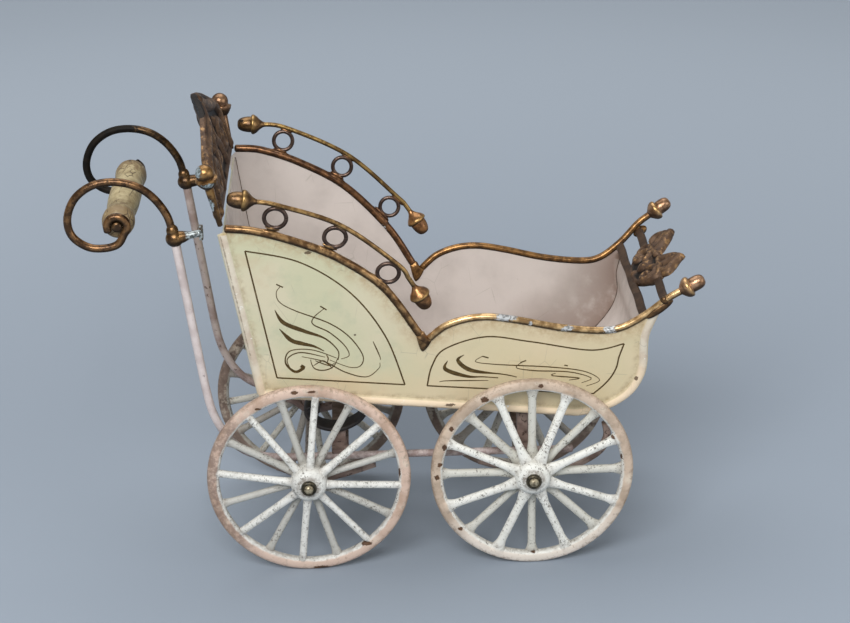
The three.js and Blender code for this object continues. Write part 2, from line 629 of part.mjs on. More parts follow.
function buildChassis() {
  const rod = handleRod();
  const toRail = (low, high) => [[HANGER_REACH * 0.55, low + HANGER_DROP * 0.65], [HANGER_REACH, high]];
  const tub = FRONT_EDGE[0][1];
  const curl = (low) => HANGER_CURL.map(([x, share]) => [x, THREE.MathUtils.lerp(low, tub, share)]);
  const toTub = (low) => [[WHEELBASE + HANGER_REACH / 2, low + HANGER_DROP * 0.47], ...curl(low)];
  for (const { name, sign } of SIDES) {
    piece(`${name}_handle_rod`, rod(sign), chassisPaint());
    const rearHanger = hanger(0, HANGER_BACK_REACH.rear, toRail, sign);
    const frontHanger = hanger(WHEELBASE, HANGER_BACK_REACH.front, toTub, sign);
    piece(`${name}_rear_axle_hanger`, rearHanger, chassisPaint());
    piece(`${name}_front_axle_hanger`, frontHanger, chassisPaint());
    piece(`${name}_rear_spring`, cSpring(sign), blackPaint());
  }
  const springSeat = aboveBolster(SPRING_LOW)[1] - SPRING_THICKNESS / 2 - SEAT_GAP;
  piece('rear_bolster', bolster(SPRING_LOW[0], springSeat), chassisPaint());
  const front = WHEELBASE - POST_SIZE * 0.6;
  piece('front_bolster', bolster(front, floorUnderAt(front + POST_SIZE) - SEAT_GAP), chassisPaint());
}

// Handle: two wire scrolls, their clamps, and a turned grip on a spindle
function scrollPath(side) {
  const eye = Array.from({ length: side.eyeSteps }, (_, k) => {
    const angle = THREE.MathUtils.degToRad(EYE_START + k * EYE_STEP);
    return [GRIP_AXIS[0] + EYE_RADIUS * Math.cos(angle), GRIP_AXIS[1] + EYE_RADIUS * Math.sin(angle)];
  });
  const stations = [besideClamp(SCROLL[0]), ...SCROLL, ...eye];
  return smooth(stations, (stations.length - 1) * 3);
}

function clamp(sign, broken) {
  const y = sign * ROD_HALF_TRACK;
  const centre = new THREE.Vector3(CLAMP[0], y, CLAMP[1]);
  const ball = new THREE.SphereGeometry(CLAMP_RADIUS, 14, 10).translate(centre.x, y, centre.z);
  const [low, high] = backPath();
  const footTop = CLAMP[1] + ARM_RISE + CLAMP_FOOT_HEIGHT / 2;
  const wall = THREE.MathUtils.mapLinear(footTop, low.y, high.y, low.x, high.x) - SHEET / 2;
  const reach = broken ? BROKEN_ARM_REACH : wall - CLAMP[0] - SEAT_GAP - CLAMP_FOOT_THICKNESS / 2;
  const tip = centre.clone().add(new THREE.Vector3(reach, 0, ARM_RISE));
  const along = new THREE.Vector3().subVectors(tip, centre);
  const end = along.length();
  const arm = lathe([[0, 0], [ARM_RADIUS * 1.3, 0], [ARM_RADIUS * 0.8, end], [0, end]], 10);
  const foot = new THREE.BoxGeometry(CLAMP_FOOT_THICKNESS, CLAMP_FOOT_WIDTH, CLAMP_FOOT_HEIGHT);
  foot.translate(tip.x, y, tip.z);
  return join(ball, stand(arm, centre, along), foot);
}

function grip() {
  const half = ROD_HALF_TRACK - SCROLL_RADIUS - RUNNING_GAP;
  const bore = SPINDLE_RADIUS + RUNNING_GAP;
  const outer = [[GRIP_BULB_RADIUS * 0.62, 1], [GRIP_BULB_RADIUS * 0.93, 0.94],
    [GRIP_BULB_RADIUS, 0.86], [GRIP_BULB_RADIUS * 0.9, 0.74], [GRIP_NECK_RADIUS, 0.62],
    [GRIP_RADIUS * 0.96, 0.42], [GRIP_RADIUS, 0.12]];
  const right = outer.map(([r, y]) => [r, -half * y]);
  const left = outer.map(([r, y]) => [r, half * y]).reverse();
  const profile = [[bore, -half], ...right, ...left, [bore, half], [bore, -half]];
  return lathe(profile, 16).translate(GRIP_AXIS[0], 0, GRIP_AXIS[1]);
}

function spindle() {
  const end = ROD_HALF_TRACK + SCROLL_RADIUS;
  const inner = ROD_HALF_TRACK - SCROLL_RADIUS;
  const boss = EYE_RADIUS - SCROLL_RADIUS - SEAT_GAP;
  const half = [[SPINDLE_RADIUS, inner], [boss, inner], [boss, end]];
  const mirrored = half.map(([r, y]) => [r, -y]).reverse();
  return lathe([[0, -end], ...mirrored, ...half, [0, end]], 12).translate(GRIP_AXIS[0], 0, GRIP_AXIS[1]);
}

function buildHandle() {
  for (const side of SIDES) {
    const { name, sign } = side;
    const wire = bar(scrollPath(side), sign * ROD_HALF_TRACK, () => roundSection(SCROLL_RADIUS, 6));
    piece(`${name}_handle_scroll`, wire, bronzePaint());
    piece(`${name}_handle_clamp`, clamp(sign, sign < 0), darkBronze());
  }
  piece('grip', grip(), woodPaint());
  piece('grip_spindle', spindle(), steel());
}

SIDES.forEach(buildSide);
buildTub();
buildChassis();
buildWheels();
buildHandle();

// The origin is under the middle of the whole model, on the ground
group.updateMatrixWorld(true);
const whole = new THREE.Box3().setFromObject(group, true);
group.position.set(-whole.getCenter(new THREE.Vector3()).x, 0, -whole.min.z);

export default group;
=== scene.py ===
"""Doll carriage: its visible surfaces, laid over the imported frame.

Lengths are millimetres until a mesh is made. Stations along X run from the rear axle and heights
from the ground, so the lists here are those of the solids. +Y is the carriage's left.
"""

import math

import bmesh
import bpy
import numpy as np
from mathutils import Matrix, Vector
from mathutils.geometry import delaunay_2d_cdt


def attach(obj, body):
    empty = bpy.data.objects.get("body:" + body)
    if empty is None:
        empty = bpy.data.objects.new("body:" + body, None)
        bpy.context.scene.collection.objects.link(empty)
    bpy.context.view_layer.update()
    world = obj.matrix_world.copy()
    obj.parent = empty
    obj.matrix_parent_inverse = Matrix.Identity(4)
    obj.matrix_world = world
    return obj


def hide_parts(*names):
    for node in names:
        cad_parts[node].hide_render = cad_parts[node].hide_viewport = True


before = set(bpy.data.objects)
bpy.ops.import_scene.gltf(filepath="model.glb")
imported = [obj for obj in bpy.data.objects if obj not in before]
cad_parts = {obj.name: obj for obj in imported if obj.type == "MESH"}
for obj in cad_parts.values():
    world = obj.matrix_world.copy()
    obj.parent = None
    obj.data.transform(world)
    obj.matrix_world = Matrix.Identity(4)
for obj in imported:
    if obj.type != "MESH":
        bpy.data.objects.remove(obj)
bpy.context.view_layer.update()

MM = 0.001
ORIGIN = np.array([24.5319, 0.0, 0.02855])  # the frame's origin, seen from the rear axle's foot
SIGNS = {"right": -1, "left": 1}
PLACES = {-1: "near", 1: "far"}

# Wheels and axles
AXLE_HEIGHT = 30
WHEEL_RADIUS = 30
WHEELBASE = 65.85
AXLES = {"rear": 0, "front": WHEELBASE}
RIM_DEPTH = 3.6
RIM_WIDTH = 3.2
RIM_HALF_TRACK = 30.6
SPOKES = 16
SPOKE_RADIUS = 1.08
# For the near and the far row of spokes: flare at the rim, web at the hub, girth
SPOKE_SHAPES = {"rear": [(0.15, 0.5, 1), (0.85, 0.5, 1)], "front": [(1.35, 1.3, 1.14)] * 2}
HUB_RADIUS = 5.4
HUB_INSET = 4
HUB_REACH = 6.3
AXLE_RADIUS = 1.5
WHEEL_TURNS = {"rear": -6, "front": 22.5}  # degrees

# Chassis
ROD_HALF_TRACK = 24.8
ROD_RADIUS = 1.1
ROD_TOP_RADIUS = 1.3
RAIL_HEIGHT = 34.3
RAIL_FRONT_X = 78
ROD_BEND = [(-33, 85.4), (-30.9, 69.7), (-29.1, 56.9), (-27.6, 49.8), (-25.1, 44), (-21.8, 39.4),
            (-17.6, 36.3), (-12.5, 34.8), (-7, 34.3)]
HANGER_WIDTH = 3
HANGER_THICKNESS = 2.1
HANGERS = {
    "rear": [(-9.5, 31.64), (-5.2, 29.7), (0, 26.6), (10.7, 28.8), (19.5, 31.64)],
    "front": [(50.35, 31.64), (57.3, 29.7), (65.85, 26.6), (75.6, 28.2), (81.6, 30.4), (86.5, 33.8),
              (88.6, 38), (88, 42.4)],
}
BOSS_RADIUS = 2.9
BOLSTER_LENGTH = 5
BOLSTER_TOP = 36.9
BOLSTERS = {"rear": (9.4, 40.4), "front": (63.81, 46.9)}  # station, top of the posts
SPRING_INSET = 6.3
SPRING_WIDTH = 6.5
SPRING_THICKNESS = 1.1
SPRING = [(19.3, 51.8), (18.2, 48.5), (16.9, 45.8), (14.2, 43), (9.4, 41.1), (3.9, 42), (0.2, 45.2),
          (-0.3, 48), (2, 48.6), (3.2, 46.8)]
POST_SIZE = 3.4

# Tub
BODY_HALF_WIDTH = 25.1
BODY_DATUM_HEIGHT = 55.5
FLARE = math.radians(9.37)
SHEET = 0.7
# Across the edge bead: distance in from the sheet's edge, and out of the sheet's middle plane
BEAD_SECTION = [(3.2, 0.33), (2.85, 0.42), (2.5, 0.72), (2.05, 1.0), (1.45, 1.15), (0.85, 1.06),
                (0.35, 0.8), (0.05, 0.4), (0, 0), (0.2, -0.26), (0.6, -0.33), (3.2, -0.3)]
FLOOR_INSET = 1.7
SEAM_RADIUS = 0.2  # of the dirt between the tub and its sides
REAR_TOP = (-22.7, 108.3)
REAR_BOTTOM = (-14.1, 54.3)
FRONT_EDGE = [(80, 44.4), (86.5, 45.7), (91.8, 48.1), (96.3, 52.1), (98.9, 57.2), (99.8, 62), (99.7, 67)]
FRONT_SHEET = [(76, 46.8), (83, 47.8), (88.6, 50.4), (91.7, 53.2), (94.6, 56.6), (96.7, 60), (97.9, 64.2),
               (97.6, 69), (98.3, 72.6), (99.2, 75.3)]

# Rails, gallery and finials
ARCH_RADIUS = 1.15
FOOT_RAIL_RADIUS = 1.05
RING_WIRE_RADIUS = 0.58
GALLERY_RADIUS = 0.7
SEAT_GAP = 0.3
GALLERY_HEAD = (-12.2, 118.5)
FINIAL_RUN = 3  # a finial takes its direction over this many stations
FOOT_RAIL = [(36.4, 72.9), (40.8, 76.6), (47, 78.8), (53.7, 79.2), (62, 77.8), (74, 75), (85.6, 73.6),
             (92, 74.5)]
JUNCTION = [(32.3, 73.7), (34.3, 74.9), (35.4, 73.4), (36.8, 72), (34, 68.4)]
# Each ring: its station on the arch rail, the radius that the rod clears, its centre above the rail
SIDES = {
    "right": {
        "arch": [(-20.1, 110.2), (-12.1, 109.1), (-0.6, 105.3), (10.9, 99.8), (23.4, 89.8), (33.1, 74.5)],
        "rings": [(-8.1, 3.5, 5.4), (7.4, 3.5, 5.4), (21.6, 2.8, 4.25)],
        "ring_radius": 3.65,
        "tail": [(30.4, 92.8), (32.3, 89.4)],
        "post_top": (-24.2, 123.4),
        "tip": [(99.9, 71.5), (101.2, 75.6), (102.6, 79.2)],
        "foot_end": [(98.5, 78.4), (104.6, 83.6), (108.5, 86.1)],
    },
    "left": {
        "arch": [(-20.2, 111.4), (-12.6, 110.7), (-0.8, 106.5), (12.9, 98.8), (25.8, 85.8), (33.1, 74.5)],
        "rings": [(-7.3, 3.05, 4.5), (9.6, 3.05, 4.6), (22.9, 3.05, 4.6)],
        "ring_radius": 3.45,
        "tail": [(31.5, 92.4), (33.3, 89.8)],
        "post_top": (-23.9, 121.8),
        "tip": [(99.4, 71.5), (99.7, 75.6)],
        "foot_end": [(98.4, 79), (103.9, 84.7), (107.7, 87.5)],
    },
}

# Painted lines on the sides: stations and heights, then widths spread evenly along the line
FRAME = (0.46, 0.46)
FINE = (0.2, 0.4, 0.36, 0.18)
TICK = (0.4, 0.4)
LINE_THICKNESS = 0.035
SWASH = (0.15, 1.25, 1.4, 1.05, 0.5, 0.36, 0.32)
LINES = [
    # Rear panel: frame, two hooked stems, two swashes, a curl and its loops
    ([(-15.3, 103.2), (-0.1, 99), (13.7, 88.8), (23.4, 74.1), (28.9, 57.2)], FRAME),
    ([(28.9, 57.2), (-8.3, 60.9)], FRAME),
    ([(-8.3, 60.9), (-15.3, 103.2)], FRAME),
    ([(-7.1, 92.2), (-5.2, 91.1)], TICK),
    ([(-6, 91.4), (-7.2, 89.4), (-6.4, 86.3), (-2.2, 83.4), (7.4, 78.9), (13.2, 74), (16.8, 67.8),
      (16.1, 64.2), (12.9, 63.8), (7.2, 66.5)], FINE),
    ([(5.1, 84.6), (6.9, 83.3)], TICK),
    ([(6.2, 83.8), (3.1, 80.9), (2.9, 78.6), (7.3, 75.9), (11.5, 71.5), (12.9, 67.9), (10.5, 66.7)], FINE),
    ([(-7.9, 83.8), (-5.6, 79.5), (0.2, 76.5), (6.1, 73.8), (9.7, 69.6), (9.6, 66.4)], SWASH),
    ([(-6.9, 77.5), (-3.7, 73.6), (-0.5, 72.3), (2.8, 71.3), (5.7, 69.6)], (0.15, 1.25, 1.4, 0.85, 0.25)),
    ([(9.2, 67.1), (2.2, 70.1), (-4.1, 69.9), (-5.6, 66), (-3, 62.8), (-0.5, 64), (-1.2, 64.8)],
     (0.2, 0.3, 0.32, 0.32, 0.42, 0.85, 1.1)),
    ([(5.9, 67.5), (-1.1, 69.3), (-5, 67.2), (-4.1, 63.5)], FINE),
    ([(-0.8, 67.9), (5.8, 65.9), (11.7, 62.1), (17.7, 60.3), (21.4, 63.1), (21.7, 65)], FINE),
    ([(1.7, 66.8), (2, 65.1), (2.9, 63.6), (5, 63), (7.2, 63.5), (8.7, 64.9), (9.5, 67)], FINE),
    ([(2.5, 64.7), (5.1, 66.3), (6.6, 65.2), (7.9, 63.6)], FINE),
    ([(3, 66.4), (5.8, 65), (7.4, 64.6), (8.6, 65.4)], FINE),
    ([(6.3, 68.3), (6.8, 67.1), (6.5, 65.7)], FINE),
    ([(19.9, 72.3), (21.7, 67.3), (21.9, 66)], FINE),
    # Front panel: frame, two swashes and three trailing stems
    ([(35.4, 56.6), (36.9, 63.5), (40.7, 69.1), (52.3, 72.8), (65.3, 70.7), (82.9, 67.2), (92.7, 69.1)],
     FRAME),
    ([(92.7, 69.1), (91.4, 64.6), (90.8, 61.1), (89.3, 57.7), (87, 54.7), (84.3, 52.1)],
     FRAME),
    ([(84.3, 52.1), (52.4, 55), (35.4, 56.6)], FRAME),
    ([(41.4, 65), (40.8, 62.1), (46.9, 59.5), (51.9, 59.1), (56.2, 58.6)], SWASH),
    ([(46.2, 66.9), (44.4, 65), (48.3, 61.5), (57.6, 59.8), (61.6, 58.7)], SWASH),
    ([(51.5, 66.2), (53.3, 65.6)], TICK),
    ([(51.5, 66.2), (49.6, 64.4), (56.2, 63.2), (71.2, 61.8), (81.3, 60), (86, 56.8), (82.1, 54.8)], FINE),
    ([(62.6, 63.6), (64.3, 64.3)], TICK),
    ([(63.3, 63.9), (61.5, 61.9), (66.9, 60.7), (77, 59.9), (83.5, 57.6), (80.7, 56)], FINE),
    ([(73, 59.6), (72.1, 58.8), (79.9, 57.7), (77, 57.1)], FINE),
    ([(75.5, 62.3), (76.5, 62)], TICK),
    ([(39, 57.8), (41.5, 58.1), (53.3, 57.8)], FINE),
]

# Crest and guard
CREST_LEAN = math.radians(16.6)
CREST_THICKNESS = 1.8
CREST_HEIGHT = 28.4
CREST_OUTLINE = [(1, 0), (1.018, 0.246), (1.012, 0.444), (0.94, 0.58), (0.8, 0.69), (0.62, 0.78),
                 (0.454, 0.86), (0.24, 0.945), (0.12, 0.985), (0, 1)]
CREST_TWIST = 3  # how far the right half is bent forward at its top
POST_RADIUS = 1.45
POST_FOOT = (-21.8, 111.5)
POST_BALL_RADIUS = 2.6
GUARD_FOOT = (97.896, 77.956)
GUARD_SLOPE = math.radians(36.3)
GUARD_THICKNESS = 1.5
GUARD_BAR_WIDTH = 2.5
GUARD_BARS = (0.4, 7.8)
MEDALLION = [(0, 0.4), (6, 1.2), (11, 4.4), (13, 7.8), (11.6, 10.6), (7, 11.2), (0, 11.8)]
LEAF = [(1.2, 9.5), (1.5, 12.2), (4, 14.4), (6.9, 16.5), (10.7, 18.3), (12.1, 15.9), (14.2, 13.9),
        (15.4, 11.8), (14.2, 9.6)]
LEAF_TIP = 4  # which point of the outline is the pointed one
LEAF_FOLDS = [[(7.5, 9.6), (9.2, 13.4), (10, 17)], [(3.4, 10.4), (5.6, 13.4), (8.4, 15.9)],
              [(11.8, 10.2), (13.2, 12.4), (11.6, 15.4)]]
LEAF_SHIFT = 1.6

# Handle
CLAMP = (-35.5, 104.3)
CLAMP_RADIUS = 2.45
SCROLL_RADIUS = 1.15
GRIP_AXIS = (-51.5, 108.3)
GRIP_CENTRE = (GRIP_AXIS[0], 0, GRIP_AXIS[1])
GRIP_RADIUS = 4.7
GRIP_BORE = 1.25
# From one end to the middle: share of the radius, share of the half length
GRIP_PROFILE = [(0.5, 1.0), (0.72, 0.995), (0.86, 0.975), (0.96, 0.93), (1.0, 0.86), (0.975, 0.79),
                (0.9, 0.71), (0.855, 0.63), (0.87, 0.52), (0.93, 0.38), (0.97, 0.2), (0.98, 0)]
SCROLL = [(-37.3, 111.4), (-40.8, 116.7), (-45.5, 120.2), (-51.5, 121.6), (-57.6, 120.7), (-62.7, 117),
          (-65.2, 111.2), (-64.3, 105.9), (-60.2, 102.5), (-55.6, 101.9), (-51.6, 103)]
EYE_RADIUS = 2.9
EYE_START = -48  # degrees
EYE_STEP = 36
EYE_STEPS = {"right": 8, "left": 4}
CLAMP_ARM_RISE = 1.5
CLAMP_FOOT_X = {"right": -27.9, "left": -23.85}

# Worn places: each a middle and its half sizes along X, Y and Z
PANEL_CHIPS = [((2.3, -33.2, 102), (1, 1.5, 0.5)), ((14.8, -28.7, 74.6), (0.4, 1.5, 0.35)),
               ((42.1, -24.6, 49.9), (1.6, 2, 0.5)), ((96.7, -25.8, 57.1), (0.6, 2, 0.8))]
RAIL_CHIPS = [((58, -29, 79.2), (3.6, 2, 1.4)), ((76, -28.3, 74.8), (2.4, 2, 0.9)),
              ((88.4, -28, 73.9), (2.3, 2, 1.5)), ((65.2, -28.5, 77), (0.8, 2, 0.8))]
ARCH_CHIPS = [((23.6, 29.6, 85), (1.9, 2, 1.9)), ((26.2, 29, 81.6), (1.1, 2, 1.6))]
CLAMP_CHIPS = [((-29.6, -24.8, 105.6), (2.9, 3, 3.4))]
POST_CHIPS = [((-24, -36, 118), (1.1, 1.5, 2.6)), ((-27, -38, 128.2), (1.7, 2, 1.7)),
              ((-24, -39, 124.7), (2, 1.2, 0.8))]


def on_face(rows):
    """Chips on a near wheel's face, from rows of x, z and the half sizes along them."""
    return [((x, -RIM_WIDTH / 2, z), (half_x, 1.5, half_z)) for x, z, half_x, half_z in rows]


TREAD_CHIP = ((2.9, -1, -29.3), (2.6, 1.8, 0.8))
REAR_WHEEL_CHIPS = [TREAD_CHIP] + on_face([
    (-3.3, 28.5, 1.1, 0.6), (1.9, 28.6, 1.2, 0.4), (16, -21.5, 1.9, 0.8), (26.6, 1.4, 0.4, 1.8),
    (-14, 23.6, 0.9, 0.4)])
FRONT_WHEEL_CHIPS = on_face([
    (-14, 24.5, 1.3, 0.9), (-25.8, 9.3, 0.7, 1.3), (-27.2, 3.8, 0.8, 0.7), (-28.2, -0.4, 0.8, 0.9),
    (-23.8, 15.4, 0.7, 0.8), (2.4, 28.3, 0.9, 0.6), (23.6, 11.2, 0.6, 0.6), (26.2, 4.4, 0.4, 1.1),
    (-21.4, -17.6, 0.8, 0.6), (0.4, -26.4, 0.8, 0.5)])

# Bronzes: bright tone, deep tone, grime (which also paints the shade underneath), wear, then chips and the
# light and dark tone of their metal
SILVERY = ((202, 204, 204), (128, 128, 126))
BRONZES = {
    "near_rail": ((222, 186, 134), (160, 126, 84), (46, 34, 22), 0.46, RAIL_CHIPS),
    "near_arch": ((176, 138, 92), (108, 78, 48), (30, 22, 14), 0.6),
    "near_gallery": ((178, 142, 90), (110, 82, 48), (30, 22, 14), 0.56),
    "near_scroll": ((136, 100, 64), (78, 55, 35), (28, 21, 14), 0.7),
    "near_post": ((160, 122, 74), (96, 68, 40), (34, 25, 17), 0.5, POST_CHIPS,
                  ((158, 170, 174), (92, 98, 96))),
    "far_rail": ((150, 110, 64), (94, 66, 38), (26, 19, 12), 0.58),
    "far_arch": ((128, 90, 58), (80, 54, 36), (26, 19, 12), 0.5, ARCH_CHIPS),
    "far_gallery": ((158, 128, 74), (100, 76, 42), (28, 21, 13), 0.56),
    "far_scroll": ((104, 78, 48), (54, 40, 26), (12, 11, 9), 0.72),
    "far_post": ((152, 118, 88), (102, 74, 54), (34, 25, 18)),
    "head_acorn": ((136, 104, 66), (84, 61, 40), (26, 20, 14)),
    "foot_acorn": ((168, 122, 78), (108, 74, 46), (34, 24, 17)),
    "rail_acorn": ((186, 148, 116), (120, 88, 62), (40, 29, 22), 0.52),
}
DARK_BRONZES = {
    "ring": ((94, 76, 66), (68, 53, 46), (36, 27, 23)),
    "near_clamp": ((130, 98, 60), (78, 56, 34), (30, 22, 15), 0.5, CLAMP_CHIPS,
                   ((168, 176, 176), (84, 88, 86))),
    "far_clamp": ((108, 80, 50), (66, 47, 30), (28, 20, 14)),
}

# Wheels: spokes' white and grey, tyre's pink, shade and low tone, then chips and how much painted shade
# darkens the tyre towards -X
WHEEL_ENAMELS = {
    "rear_wheel": ((228, 227, 220), (170, 168, 160), (212, 186, 168), (186, 158, 138), (208, 184, 168),
                   REAR_WHEEL_CHIPS, 0.75),
    "front_wheel": ((234, 233, 225), (194, 192, 181), (204, 183, 162), (176, 156, 136), (229, 220, 208),
                    FRONT_WHEEL_CHIPS),
    # the far wheels: darker tones, painted shade from the body, and dirt
    "far_wheel": ((190, 186, 174), (150, 142, 132), (126, 107, 94), (98, 80, 69), (130, 112, 100)),
}

# Chassis: light tone, dark tone, undercoat, and how high its noise rises before it flakes
CHASSIS_ENAMELS = {
    "near_rod": ((214, 202, 198), (192, 178, 174), (110, 88, 78)),
    "far_rod": ((182, 166, 158), (148, 128, 120), (96, 76, 66), 0.6),
    # hanger, also for the bolsters: darker than the rods, as painted shade under the tub
    "hanger": ((154, 134, 124), (112, 92, 84), (70, 52, 44), 0.58),
}
BLACK_ENAMEL = ((30, 27, 28), (44, 38, 36), (96, 74, 60))
PATTERN_STEP = (1900, 2900, 3700)  # shifts the patterns of pieces that have their own origin

# Stage: the camera's azimuth, elevation and roll are in degrees, the floor's radius in metres
CAMERA_ANGLES = (-1.899, 22.50, -0.925)
CAMERA_TARGET = (35.958, 0, 69.428)
CAMERA_DISTANCE = 635.621
CAMERA_LENS = 89.30
FLOOR_RADIUS = 4
FLOOR_NEAR = (152, 162, 174)
FLOOR_FAR = (184, 195, 207)
BACKDROP = (216, 217, 219)
BACKDROP_LIGHT = 0.3
BACKDROP_SEEN = 0.42
LAMP_AIM = (0, 0, 60)
LAMPS = [("key", (-220, -820, 760), (700, 500), 10.5), ("fill", (750, -500, 350), (600, 500), 1.7),
         ("top", (-100, 300, 900), (900, 700), 4)]


# Curves
def ramp(values, start, end):
    """Rises from 0 at start to 1 at end; start may be the greater."""
    return np.clip((values - start) / (end - start), 0, 1)


def unit(v):
    v = np.asarray(v, float)
    return v / np.linalg.norm(v, axis=-1, keepdims=True)


def spline(points, steps):
    """A smooth curve through the points, evenly spaced in its parameter."""
    p = np.asarray(points, float)
    t = np.linspace(0, len(p) - 1, steps + 1)
    k = np.minimum(t.astype(int), len(p) - 2)
    w = (t - k)[:, None]
    p0, p1, p2, p3 = (p[np.clip(k + i, 0, len(p) - 1)] for i in (-1, 0, 1, 2))
    v0, v1 = (p2 - p0) / 2, (p3 - p1) / 2
    return (2 * p1 - 2 * p2 + v0 + v1) * w**3 + (3 * p2 - 3 * p1 - 2 * v0 - v1) * w**2 + v0 * w + p1


def run_of(path):
    """The distance along a path at each of its points."""
    return np.concatenate([[0], np.cumsum(np.linalg.norm(np.diff(path, axis=0), axis=1))])


def even(path, step):
    """The same path with stations a fixed step apart."""
    path = np.asarray(path, float)
    run = run_of(path)
    stations = np.linspace(0, run[-1], max(2, round(run[-1] / step) + 1))
    return np.stack([np.interp(stations, run, column) for column in path.T], 1)


def spread(values, count):
    """Values spaced evenly over a number of stations."""
    return np.interp(np.linspace(0, 1, count), np.linspace(0, 1, len(values)), values)


def lefts(path):
    """The mitred left-hand normals of a flat path."""
    step = unit(np.diff(path, axis=0))
    lead = np.vstack([step[:1], step])
    trail = np.vstack([step, step[-1:]])
    middle = unit(lead + trail)
    reach = 1 / np.maximum((middle * lead).sum(1), 0.5)
    return np.stack([-middle[:, 1], middle[:, 0]], 1) * reach[:, None]


def offset(path, distance):
    return path + lefts(path) * distance


def closed(outline):
    return np.vstack([outline, outline[:1]])


def distance_to(points, path):
    """The distance of each flat point from a path."""
    best = np.full(len(points), 1e9)
    for p, q in zip(path[:-1], path[1:]):
        along = np.clip(((points - p) @ (q - p)) / max((q - p) @ (q - p), 1e-9), 0, 1)
        best = np.minimum(best, np.linalg.norm(points - p - along[:, None] * (q - p), axis=1))
    return best


def inside(points, outline):
    """Which flat points lie inside a closed outline."""
    x, y = points[:, 0], points[:, 1]
    hit = np.zeros(len(points), bool)
    for (x0, y0), (x1, y1) in zip(outline, np.roll(outline, -1, axis=0)):
        crosses = (y0 > y) != (y1 > y)
        hit ^= crosses & (x < (x1 - x0) * (y - y0) / ((y1 - y0) or 1e-12) + x0)
    return hit


def spiral(centre, radius, start, turns):
    """A spiral that winds inward to a small part of its radius."""
    t = np.linspace(0, 1, 50)
    angle = start + t * turns * 2 * math.pi
    r = radius * (1 - 0.85 * t)
    return np.column_stack([centre[0] + r * np.cos(angle), centre[1] + r * np.sin(angle)])


def at_y(path, y):
    """Flat (x, height) points on an upright plane."""
    return np.column_stack([path[:, 0], np.full(len(path), y), path[:, 1]])


# Surfaces: each is a pair of points and faces
def grid(rings, caps=True):
    """Faces between rings of points, with the first and the last ring capped."""
    rings = np.asarray(rings, float)
    count, size = rings.shape[:2]
    faces = []
    for r in range(count - 1):
        for k in range(size):
            a, b = r * size + k, r * size + (k + 1) % size
            faces.append((a, b, b + size, a + size))
    if caps:
        last = (count - 1) * size
        faces.append(tuple(range(size))[::-1])
        faces.append(tuple(last + k for k in range(size)))
    return rings.reshape(-1, 3), faces


def sweep(points, across, sections):
    """Carries flat sections (across, up) along a curve that lies square to the across direction."""
    points = np.asarray(points, float)
    up = np.cross(unit(np.gradient(points, axis=0)), across)
    sections = np.broadcast_to(sections, (len(points),) + np.shape(sections)[-2:])
    sideways = sections[..., :1] * np.asarray(across)
    return grid(points[:, None] + sideways + sections[..., 1:] * up[:, None])


def circle(sides, phase=0.5):
    angle = (np.arange(sides) + phase) * 2 * math.pi / sides
    return np.stack([np.cos(angle), np.sin(angle)], 1)


def tube(points, across, radius, sides=20):
    """A round wire with domed ends, each a share of the radius long."""
    blunt = 0.6
    points = np.asarray(points, float)
    radius = np.broadcast_to(radius, len(points)).astype(float)
    first, last = unit(points[0] - points[1]), unit(points[-1] - points[-2])
    turn = np.linspace(0, 1.4, 6)[1:]
    head = [points[0] + first * radius[0] * blunt * math.sin(a) for a in turn[::-1]]
    tail = [points[-1] + last * radius[-1] * blunt * math.sin(a) for a in turn]
    dome = np.cos(turn)
    radii = np.concatenate([radius[0] * dome[::-1], radius, radius[-1] * dome])
    return sweep(np.vstack([head, points, tail]), across, circle(sides) * radii[:, None, None])


def rounded(width, height, corner):
    """A rectangle with round corners, as a section."""
    steps = 3
    points = []
    for quarter in range(4):
        cx = (width / 2 - corner) * (1 if quarter in (0, 3) else -1)
        cy = (height / 2 - corner) * (1 if quarter in (0, 1) else -1)
        for k in range(steps + 1):
            angle = (quarter + k / steps) * math.pi / 2
            points.append((cx + corner * math.cos(angle), cy + corner * math.sin(angle)))
    return np.array(points)


def revolve(profile, base, axis, sides=40):
    """Turns (radius, height) pairs about an axis that starts at base."""
    axis = unit(axis)
    side = unit(np.cross(axis, (0.3, 0.5, 0.81)))
    other = np.cross(axis, side)
    spin = circle(sides)
    spokes = spin[:, :1] * side + spin[:, 1:] * other
    rings = [np.asarray(base) + axis * height + max(radius, 1e-4) * spokes for radius, height in profile]
    return grid(rings)


def ring_of(profile, centre, sides):
    """Turns a closed (radius, y) loop about an axis along Y."""
    profile = np.asarray(profile, float)
    rings = [np.column_stack([c * profile[:, 0], profile[:, 1], s * profile[:, 0]]) + centre
             for c, s in circle(sides, 0)]
    points, faces = grid(rings + rings[:1], caps=False)
    total = sides * len(profile)
    return points[:total], [tuple(i % total for i in face) for face in faces]


def filled(outline, step):
    """Triangles over a closed outline, and which points are its rim."""
    outline = even(closed(outline), step)[:-1]
    low, high = outline.min(0), outline.max(0)
    u, v = np.meshgrid(np.arange(low[0], high[0], step), np.arange(low[1], high[1], step * 0.87))
    u = u + (np.arange(len(u)) % 2)[:, None] * step / 2
    inner = np.stack([u.ravel(), v.ravel()], 1)
    inner = inner[inside(inner, outline)]
    inner = inner[distance_to(inner, closed(outline)) > step * 0.45]
    edges = [(i, (i + 1) % len(outline)) for i in range(len(outline))]
    points = [Vector(p) for p in np.vstack([outline, inner])]
    made, _, triangles, sources, _, _ = delaunay_2d_cdt(points, edges, [], 1, 1e-6)
    flat = np.array([tuple(p) for p in made])
    keep = inside(np.array([flat[list(f)].mean(0) for f in triangles]), outline)
    place = {source: i for i, group in enumerate(sources) for source in group}
    return flat, [tuple(f) for f, k in zip(triangles, keep) if k], [place[i] for i in range(len(outline))]


